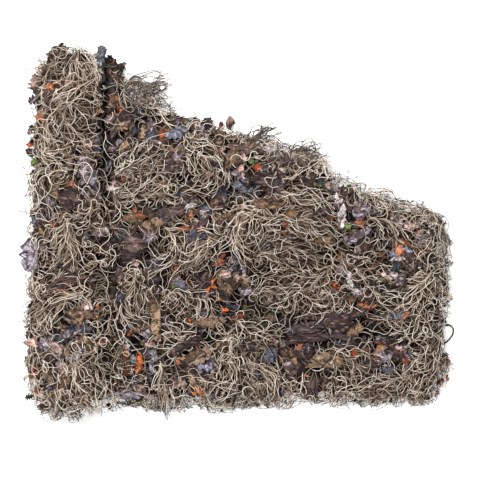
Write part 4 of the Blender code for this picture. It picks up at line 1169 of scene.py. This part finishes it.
def triangulated(outline, step):
    """Triangles of an outline with a grid of spots inside it."""
    n = len(outline)
    lo, hi = outline.min(0), outline.max(0)
    grid = [(x, y) for x in np.arange(lo[0] + 0.5 * step, hi[0], step)
            for y in np.arange(lo[1] + 0.5 * step, hi[1], step)]
    points = [Vector(p) for p in outline.tolist()] + [Vector(p) for p in grid]
    edges = [(i, (i + 1) % n) for i in range(n)]
    made = delaunay_2d_cdt(points, edges, [list(range(n))], 1, 1e-5)
    return np.array([tuple(v) for v in made[0]]), [tuple(f) for f in made[2]]


def edge_ring(tris):
    """Edges that only one triangle has, each the way its triangle runs."""
    edges = {}
    for tri in tris:
        for a, b in zip(tri, tri[1:] + tri[:1]):
            if (b, a) in edges:
                del edges[b, a]
            else:
                edges[a, b] = True
    return list(edges)


class ClothPile:
    """Collects cut pieces of one dye into one mesh of thin closed sheets."""

    def __init__(self):
        self.points, self.faces, self.dyes, self.cuts, self.nodes = [], [], [], [], []
        self.shaded = []
        self.area = 0.0

    def add(self, rng, flat, place, tris, name, shade, grain, shaded=True):
        """A sheet from its flat points, their places, its triangles and each point's painted shade."""
        corner = [place[[t[k] for t in tris]] for k in range(3)]
        faces = np.cross(corner[1] - corner[0], corner[2] - corner[0])
        normal = np.zeros_like(place)
        for k in range(3):
            np.add.at(normal, [t[k] for t in tris], faces)
        normal /= np.maximum(np.linalg.norm(normal, axis=1), 1e-6)[:, None]
        base, n = sum(len(p) for p in self.points), len(flat)
        rim = edge_ring(tris)
        self.faces += [tuple(base + i for i in f) for f in tris]
        self.faces += [tuple(base + n + i for i in reversed(f)) for f in tris]
        self.faces += [(base + b, base + a, base + n + a, base + n + b) for a, b in rim]
        self.points += [place, place - normal * CLOTH_THICK]
        self.shaded += [np.full(2 * n, shaded)]
        tone = np.array(CLOTH_DYES[name]) * rng.uniform(*CUT_TONES)
        streaks = STREAKS.get(name, FAINT_STREAKS)
        shade = shade.copy()
        # painted shade along each cut's edge
        shade[sorted({a for a, _ in rim})] *= EDGE_SHADE
        self.dyes += [np.c_[tone * shade[:, None], np.full(n, streaks)]] * 2
        away = rng.uniform(-5, 5, 3)
        self.cuts += [np.c_[flat * MM * grain, np.zeros(n)] + away] * 2
        self.area += np.linalg.norm(faces, axis=1).sum() / 2

    def build(self, name, material, slot, top):
        points = np.concatenate(self.points)
        obj = link_mesh(name, points * MM, self.faces)
        obj.data.shade_smooth()
        dyes = np.concatenate(self.dyes)
        # painted shade: cloth under strands is painted darker
        under = depth_shade(points, top, CLOTH_SHADE_LEVEL, CLOTH_SHADE_DEPTH, CLOTH_SHADE_LEAST)
        # the cuts on the folded layers' sides get a fixed painted shade instead
        dyes[:, :3] *= np.where(np.concatenate(self.shaded)[:, None], under, HUNG_SHADE)
        add_attribute(obj.data, "dye", "FLOAT_COLOR", dyes)
        add_attribute(obj.data, "cut", "FLOAT_VECTOR", np.concatenate(self.cuts))
        finish_piece(obj, material, slot, *self.nodes)


def crumpled(rng, flat, length, amount, grain, sharp):
    """A flat cut bent twice, creased along its grain and tilted, and each point's painted shade."""
    place = np.c_[flat, np.zeros(len(flat))]
    spin = rng.uniform(0, math.pi)
    for turn, share in BENDS:
        along = np.array([*step_to(spin + turn), 0.0])
        s = place @ along
        bend = amount * share * (0.3 + abs(rng.normal(0, 0.9))) * rng.choice([-1, 1, 1]) / length
        place = place + (np.sin(bend * s) / bend - s)[:, None] * along
        place[:, 2] += (1 - np.cos(bend * s)) / bend
    away = rng.uniform(0, 50, 3)
    wide = np.array([[noise.noise(Vector((*p, layer)) + Vector(away)) for layer in (0.0, 20.0, 40.0)]
                     for p in flat * grain / WIDE_FOLD])
    fine = np.array([noise.noise(Vector((*p, 4.0)) + Vector(away)) for p in flat * grain / FINE_FOLD])
    crease = 0.5 - np.abs(wide[:, 2])
    place += wide * WIDE_DRIFT * amount
    place[:, 2] += (WIDE_RISE * crease + FINE_RISE * fine) * amount * sharp
    tip = rng.normal(0, TIPPED, 2).clip(-TIPPED_MOST, TIPPED_MOST) * amount
    for axis, angle in ((0, tip[0]), (1, tip[1])):
        c, d = math.cos(angle), math.sin(angle)
        a, b = place[:, axis].copy(), place[:, 2].copy()
        place[:, axis], place[:, 2] = c * a - d * b, d * a + c * b
    # painted shade and highlight: darker in the creases' hollows, paler on their ridges
    return place, np.clip(0.86 + (0.85 * crease + 0.3 * fine) * sharp - 0.08 * sharp, 0.42, 1.3)


def grain_of(rng, dye):
    """How much tighter print and creases run across a cut than along it."""
    return np.array((0.5, rng.uniform(1.4, 2.0)) if dye == "bark" else (0.9, rng.uniform(1.0, 1.4)))


def lay_leaf(rng, piles, dye, relief, caps, x, y, length, width, turn, kind, lift):
    """A cut on the tufts, lift above them; strands that read the caps stay under it."""
    outline = leaf_outline(rng, length, width, kind)
    flat, tris = triangulated(outline, max(2.8, min(length, width) / 4.5))
    grain = grain_of(rng, dye)
    place, shade = crumpled(rng, flat, length, 1.0, grain, CREASES.get(dye, SOFT_CREASE))
    c, d = math.cos(math.radians(turn)), math.sin(math.radians(turn))
    place[:, :2] = place[:, :2] @ np.array([[c, d], [-d, c]]) + (x, y)
    ground = relief.at(place[:, 0], place[:, 1])
    level = FOLLOWS * ground + (1 - FOLLOWS) * relief.at(x, y)
    place[:, 2] += level + lift - np.percentile(place[:, 2], 40)
    place[:, 2] = np.clip(np.maximum(place[:, 2], ground - CUT_DROP), CUT_LOWEST, TOP_Z)
    piles[dye].add(rng, flat, place, tris, dye, shade, grain)
    for cap in caps:
        cap.lay(place, tris)


def hang_leaf(rng, piles, dye, side, down, along, length):
    """A cut on a side of the folded layers."""
    width = length * rng.uniform(*CUT_WIDTHS)
    flat, tris = triangulated(leaf_outline(rng, length, width, rng.choice(["oak", "rag"])), 4.5)
    grain = grain_of(rng, dye)
    place, shade = crumpled(rng, flat, length, 0.6, grain, CREASES.get(dye, SOFT_CREASE))
    place += (down, along, 2.5)
    place[:, 2] = place[:, 2].clip(*HUNG_OUT)
    turned = [tri[::-1] for tri in tris] if side != "bottom" else tris
    piles[dye].add(rng, flat, hung(place, side), turned, dye, shade, grain, False)


def relief_for(x, reliefs):
    return reliefs["strip"] if x < STRIP_EDGE else reliefs["main"]


def node_leaf(rng, piles, node, dye, caps):
    """A cut whose outline and place are those of its solid, with its own folds."""
    mesh = frame["nodes"][node].data
    mesh.calc_loop_triangles()
    spots, index = {}, []
    for v in mesh.vertices:
        index.append(spots.setdefault(tuple(round(c / MM, 2) for c in v.co), len(spots)))
    points = np.array(list(spots))
    tris = [tuple(index[i] for i in t.vertices) for t in mesh.loop_triangles if t.normal.z > 0.02]
    follow = dict(edge_ring(tris))
    ring, at = [], next(iter(follow))
    while len(ring) < len(follow):
        ring.append(at)
        at = follow[at]
    outline = points[ring][:, :2]
    centre = outline.mean(0)
    size = np.ptp(outline, axis=0).max()
    flat, cells = triangulated(outline - centre, CUT_STEP)
    base = np.c_[points[ring][:, :2] - centre, np.ones(len(ring))]
    plane = np.linalg.lstsq(base, points[ring][:, 2], rcond=None)[0]
    grain = grain_of(rng, dye)
    place, shade = crumpled(rng, flat, size, 0.8, grain, CREASES.get(dye, SOFT_CREASE))
    place[:, 2] += np.c_[flat, np.ones(len(flat))] @ plane + 1.5 - np.percentile(place[:, 2], 30)
    place[:, :2] += centre
    place[:, 2] = np.minimum(place[:, 2], TOP_Z)
    piles[dye].add(rng, flat, place, cells, dye, shade, grain)
    for cap in caps:
        cap.lay(place, cells)


def tuft_spots():
    """Points along every charted tuft, with its half width."""
    rows = []
    for width, _, _, *route in STRIP_TUFTS + MAIN_TUFTS:
        path, _ = smooth_path(route, 20)
        rows.append(np.c_[path, np.full(len(path), 0.5 * width)])
    return np.concatenate(rows)


def lay_cloth(made):
    """Places every cut: those of the solids, the charted ones and the small ones between."""
    rng = np.random.default_rng(SEED + 7)
    piles = {dye: ClothPile() for dye in CLOTH_DYES}
    slots = {s["node"]: s["material_slot"] for s in frame["record"]["subparts"]}
    both, under_only = (made["upper"], made["lower"]), (made["lower"],)
    for node in sorted(n for n in frame["nodes"] if n.startswith(("leaf_", "strip_"))):
        dye = slots[node].removeprefix("cloth_")
        node_leaf(rng, piles, node, dye, both)
        piles[dye].nodes.append(node)
    lobed = ["oak", "oak", "oak", "rag", "rag", "star"]
    for x, y, length, width, turn, dye in LEAVES:
        kind = "rag" if dye == "bark" or width < NARROW else rng.choice(lobed)
        share = SMALLER.get(dye, 1.0)
        turn += rng.normal(0, LEAF_STRAY)
        lay_leaf(rng, piles, dye, relief_for(x, made), both, x, y, CUT_LONGER * share * length,
                 CUT_WIDER * share * width, turn, kind, rng.uniform(*LEAF_LIFTS))
    names = [dye for dye, _ in SCATTER_DYES]
    shares = np.array([share for _, share in SCATTER_DYES])
    shares /= shares.sum()
    tufts = tuft_spots()
    corners = [(dx, dy) for dx in (-RIM_CUT, RIM_CUT) for dy in (-RIM_CUT, RIM_CUT)]
    left = settings().scatter
    while left > 0:
        x, y = rng.uniform(CAD_LOW, CAD_HIGH)
        relief = relief_for(x, made)
        gap = y > CREVICE_Y and CREVICE[0] - GAP_LEFT < x < CREVICE[1] + GAP_RIGHT
        inside = all(relief.holds(x + dx, y + dy) for dx, dy in corners)
        if gap or not inside or in_open(x, y):
            continue
        dye = names[rng.choice(len(names), p=shares)]
        size = rng.uniform(*CUT_SIZES) * (PART_SIZE if dye in PART_SEEN else 1.0)
        bare = (np.hypot(tufts[:, 0] - x, tufts[:, 1] - y) > tufts[:, 2] + 0.2 * size).all()
        lift = rng.uniform(*(BARE_LIFTS if bare else TUFT_LIFTS))
        lay_leaf(rng, piles, dye, relief, both if bare else under_only, x, y, size,
                 size * rng.uniform(*CUT_WIDTHS), rng.uniform(0, 180),
                 rng.choice(["oak", "rag", "rag"]), lift)
        left -= 1
    for side, height, along in hung_spots(rng, FRINGE_CUTS):
        for row in HUNG_ROWS:
            dye = names[rng.choice(len(names), p=shares)]
            down = row * height + rng.uniform(-6, 6)
            where = along + rng.uniform(-8, 8)
            length = rng.uniform(*HUNG_SIZES) * (1.0 if side == "turn" else HUNG_SMALLER)
            hang_leaf(rng, piles, dye, side, down, where, length)
    return piles


# ---- ground, netting, cord ----------------------------------------------
def add_bed(name, layer, bottom, ceiling):
    """A closed crumpled mat under the tufts, a little inside the slab it stands for, painted near
    black for shade.
    """
    relief = layout()[layer]
    count = (np.array(relief.z.shape) * CELL / BED_CELL).astype(int)
    gx, gy = np.meshgrid(*(relief.low[k] + np.arange(count[k]) * BED_CELL for k in (0, 1)),
                         indexing="ij")
    inset = (-BED_INSET, 0, BED_INSET)
    keep = np.logical_and.reduce([relief.holds(gx + dx, gy + dy) for dx in inset for dy in inset])
    keep &= ~in_open(gx, gy)
    if ceiling < TOP_Z:
        keep &= (gx > TURN_X - BED_SIDE) & (gx < STRIP_EDGE - BED_SIDE)
        keep &= abs(gy) < NET_HALF_UP - BED_END
    cells = keep[:-1, :-1] & keep[1:, :-1] & keep[1:, 1:] & keep[:-1, 1:]
    used = np.zeros_like(keep)
    for dx in (0, 1):
        for dy in (0, 1):
            used[dx:used.shape[0] - 1 + dx, dy:used.shape[1] - 1 + dy] |= cells
    index = -np.ones(keep.shape, int)
    index[used] = np.arange(used.sum())
    flat = np.stack([gx[used], gy[used]], 1)
    rough = np.array([noise.noise(Vector((*(p / 11), 0.5)))
                      + 0.6 * noise.noise(Vector((*(p / 5), 2.5))) for p in flat])
    top = relief.at(flat[:, 0], flat[:, 1]) - BED_DEPTH + BED_ROUGH * rough
    top = np.minimum(np.maximum(top, bottom + BED_THIN), ceiling)
    n = len(flat)
    points = np.concatenate([np.c_[flat, top], np.c_[flat, np.full(n, bottom)]]) * MM
    rings = [(index[i, j], index[i + 1, j], index[i + 1, j + 1], index[i, j + 1])
             for i, j in np.argwhere(cells)]
    faces = rings + [tuple(n + k for k in reversed(ring)) for ring in rings]
    faces += [(b, a, n + a, n + b) for a, b in edge_ring(rings)]
    obj = link_mesh(name, points, faces)
    obj.data.shade_smooth()
    finish_piece(obj, shared_material("ground_cloth_painted_shade", painted_shade_bed_material), "cloth_bark", SLABS[layer][0])


def folded(s, up):
    """Where a point of the flat netting lies: s from its right edge, up from its middle line."""
    if s <= TURN_RUN:
        flat = Vector((NET_RIGHT - s, up))
        along = (HEM_END - HEM_START).normalized()
        outward = Vector((-along.y, along.x))
        past = (flat - HEM_START).dot(outward)
        if past <= 0:
            return (flat.x, flat.y, MAIN_MID)
        angle = min(past / HEM_R, math.pi)
        reach = HEM_R * math.sin(angle) - max(0.0, past - math.pi * HEM_R)
        spot = flat - past * outward + reach * outward
        return (spot.x, spot.y, HEM_Z + HEM_R * math.cos(angle))
    s -= TURN_RUN
    if s <= math.pi * TURN_R:
        angle = s / TURN_R
        return (TURN_X - TURN_R * math.sin(angle), up, MAIN_MID + TURN_R * (1 - math.cos(angle)))
    s -= math.pi * TURN_R
    if s <= BACK_RUN:
        return (TURN_X + s, up, BACK_MID)
    s -= BACK_RUN
    edge = TURN_X + BACK_RUN
    if s <= math.pi * CREASE_R:
        angle = s / CREASE_R
        return (edge + CREASE_R * math.sin(angle), up, BACK_MID + CREASE_R * (1 - math.cos(angle)))
    return (edge - (s - math.pi * CREASE_R), up, TOP_MID)


def add_net():
    """Twine along both ways of the folded sheet, with a knot where they cross."""
    pitch = settings().mesh_pitch / MM
    across = round(NET_LENGTH / pitch)
    upward = round(2 * NET_HALF_UP / pitch)
    s_lines = [NET_LENGTH * k / across for k in range(across + 1)]
    up_lines = [-NET_HALF_UP + 2 * NET_HALF_UP * k / upward for k in range(upward + 1)]
    strands, knots = [], []
    for s in s_lines:
        fine = np.linspace(-NET_HALF_UP, NET_HALF_UP, upward * TWINE_CUTS + 1)
        strands.append(np.array([folded(s, up) for up in fine]))
        knots.append(np.array([float(k % TWINE_CUTS == 0) for k in range(len(fine))]))
    for up in up_lines:
        fine = np.linspace(0, NET_LENGTH, across * TWINE_CUTS + 1)
        strands.append(np.array([folded(s, up) for s in fine]))
        knots.append(np.zeros(len(fine)))
    radius = settings().twine_radius
    for line in strands:
        line[:, 2] = np.maximum(line[:, 2], KNOT_SHARE * radius / MM + KNOT_GAP)
    tree = sweep_tree("netting", twine_material("net_twine", TWINE_DYE), knots=True)
    obj = swept("netting", tree, strands, radius, TWINE_SIDES, knots=knots)
    finish_piece(obj, None, "netting", "net")


def add_cord():
    """The tie loop: a braided cord from the net's edge out past the rim and back."""
    path, length = smooth_path(CORD_ROUTE, CORD_POINTS)
    cord = twine_material("loop_cord", tuple(settings().cord_colour))
    tree = sweep_tree("edge_cord", cord)
    obj = swept("edge_cord", tree, [path], CORD_D / 2 * MM, CORD_SIDES)
    finish_piece(obj, None, "cord", "edge_loop")
    [tuple(p * MM) for p in path]


# ---- stage ---------------------------------------------------------------
def add_stage():
    corners = [(x * FLOOR_HALF, y * FLOOR_HALF, 0) for x, y in ((-1, -1), (1, -1), (1, 1), (-1, 1))]
    floor = link_mesh("floor", corners, [(0, 1, 2, 3)])
    paper = Shader("paper", Roughness=0.9, Specular_IOR_Level=0.1, Emission_Color=(1.0, 1.0, 1.0, 1),
                   Emission_Strength=FLOOR_GLOW)
    clouds = paper.noise(paper.coords(), 3.0)
    paper.set("Base Color", paper.mix(clouds, PAPER_DARK, PAPER_PALE))
    floor.data.materials.append(paper.material)
    scene = bpy.context.scene
    scene.world = bpy.data.worlds.new("studio")
    scene.world.use_nodes = True
    sky = scene.world.node_tree.nodes["Background"].inputs
    sky["Color"].default_value, sky["Strength"].default_value = SKY, SKY_STRENGTH
    for name, spot, size, power in LIGHTS:
        light = bpy.data.lights.new(name, "AREA")
        light.size, light.energy = size, power
        lamp = link_object(name, light)
        lamp.location = spot
        lamp.rotation_euler = (-Vector(spot)).to_track_quat("-Z", "Y").to_euler()
    camera = bpy.data.cameras.new("camera")
    camera.lens, camera.sensor_width = LENS, SENSOR
    camera.clip_end = CLIP_END
    scene.camera = link_object("camera", camera)
    distance = VIEW_WIDTH * LENS / SENSOR + VIEW_HEIGHT_REF
    scene.camera.location = (VIEW_CENTRE[0] * MM, VIEW_CENTRE[1] * MM, distance * MM)
    scene.view_settings.view_transform = "Standard"
    scene.view_settings.look = "None"


# ---- operators -----------------------------------------------------------
LAYOUT = {}


def lay_yarn(made, layer, tufts, low_x, high_x):
    """Every strand of one layer: low ground tufts, the charted tufts and loose ends at the rim."""
    rng = np.random.default_rng(SEED + len(tufts))
    relief, rim = made[layer], made["rim"]
    strands = fill_strands(rng, relief, made["lower"], rim, low_x, high_x)
    for width, count, tangle, *route in tufts:
        count = round(count * settings().strand_share)
        laid = run_strands(rng, route, width, count, tangle, rng.uniform(*TUFT_TONES))
        strands += settle(rng, laid, relief, made["upper"], OVER_SHARE, rim)
    return strands + rim_strands(rng, relief, made["lower"], rim, RIM_TUFTS[layer], low_x, high_x)


def layout():
    """Where everything lies, worked out once: cloth first, and the strands over and under it."""
    if LAYOUT:
        return LAYOUT
    made = LAYOUT
    for layer, slab in SLABS.items():
        made[layer] = Relief(*slab)
    made["rim"] = rim_distance([made["main"], made["strip"]])
    made["upper"], made["lower"] = Grid(FINE_CELL, NOTHING), Grid(FINE_CELL, NOTHING)
    made["cloth"] = lay_cloth(made)
    made["yarn_strip"] = lay_yarn(made, "strip", STRIP_TUFTS, -FAR, STRIP_EDGE)
    made["yarn_main"] = lay_yarn(made, "main", MAIN_TUFTS, STRIP_EDGE - MAIN_UNDER, FAR)
    rng = np.random.default_rng(SEED + 1)
    made["whiskers"] = []
    for width, count, tangle, *route in WHISKERS:
        for strand in run_strands(rng, route, width, count, tangle, stop=WHISKER_STOP,
                                  stride=WHISKER_STEP):
            strand[:, 2] += made["main"].at(strand[:, 0], strand[:, 1])
            strand[:, 2] = np.maximum(strand[:, 2], WHISKER_R + REST_GAP)
            made["whiskers"].append(strand)
    made["top"] = top_grid(made["yarn_strip"] + made["yarn_main"])
    for layer in ("yarn_strip", "yarn_main"):
        made[layer] = seen_parts(made[layer], made["top"], made["rim"])
    return made


class NET_OT_stage(bpy.types.Operator):
    """Add the pale floor, the soft lights and the camera"""
    bl_idname = "camonet.stage"
    bl_label = "Stage"

    def execute(self, context):
        add_stage()
        return {"FINISHED"}


class NET_OT_cord(bpy.types.Operator):
    """Add the tie loop at the right rim"""
    bl_idname = "camonet.cord"
    bl_label = "Tie loop"

    def execute(self, context):
        add_cord()
        return {"FINISHED"}


class NET_OT_netting(bpy.types.Operator):
    """Add the folded knotted netting"""
    bl_idname = "camonet.netting"
    bl_label = "Netting"

    def execute(self, context):
        add_net()
        return {"FINISHED"}


class NET_OT_ground(bpy.types.Operator):
    """Add the dark ground between the tufts, painted near black for their shade"""
    bl_idname = "camonet.ground"
    bl_label = "Ground"

    def execute(self, context):
        for bed in BEDS:
            add_bed(*bed)
        return {"FINISHED"}


class NET_OT_cloth(bpy.types.Operator):
    """Add the leaf-cut cloth"""
    bl_idname = "camonet.cloth"
    bl_label = "Leaf-cut cloth"

    def execute(self, context):
        made = layout()
        cloth = cloth_material()
        for dye, pile in made["cloth"].items():
            slot = CLOTH_SLOTS.get(dye, f"cloth_{dye}")
            pile.build(f"cloth_{dye}", cloth, slot, made["top"])
        return {"FINISHED"}


class NET_OT_yarn(bpy.types.Operator):
    """Add the yarn tufts"""
    bl_idname = "camonet.yarn"
    bl_label = "Yarn tufts"

    def execute(self, context):
        made = layout()
        add_yarn("yarn_strip", made["yarn_strip"], "tufts_strip", made)
        add_yarn("yarn_main", made["yarn_main"], "tufts_main", made)
        add_fringe()
        add_whiskers(made["whiskers"])
        return {"FINISHED"}


class NET_PT_panel(bpy.types.Panel):
    """Lists the pieces of the net"""
    bl_label = "Camouflage net"
    bl_idname = "NET_PT_panel"
    bl_space_type = "VIEW_3D"
    bl_region_type = "UI"
    bl_category = "Net"

    def draw(self, context):
        for name in NetSettings.__annotations__:
            self.layout.prop(context.scene.net_settings, name)
        for step in STEPS:
            self.layout.operator(step.bl_idname)


STEPS = (NET_OT_stage, NET_OT_cord, NET_OT_netting, NET_OT_ground, NET_OT_cloth, NET_OT_yarn)
CLASSES = (NetSettings, *STEPS, NET_PT_panel)


def register():
    for cls in CLASSES:
        bpy.utils.register_class(cls)
    bpy.types.Scene.net_settings = PointerProperty(type=NetSettings)


def unregister():
    del bpy.types.Scene.net_settings
    for cls in reversed(CLASSES):
        bpy.utils.unregister_class(cls)


def main():
    register()
    for step in STEPS:
        group, name = step.bl_idname.split(".")
        getattr(getattr(bpy.ops, group), name)()


if __name__ == "__main__":
    main()
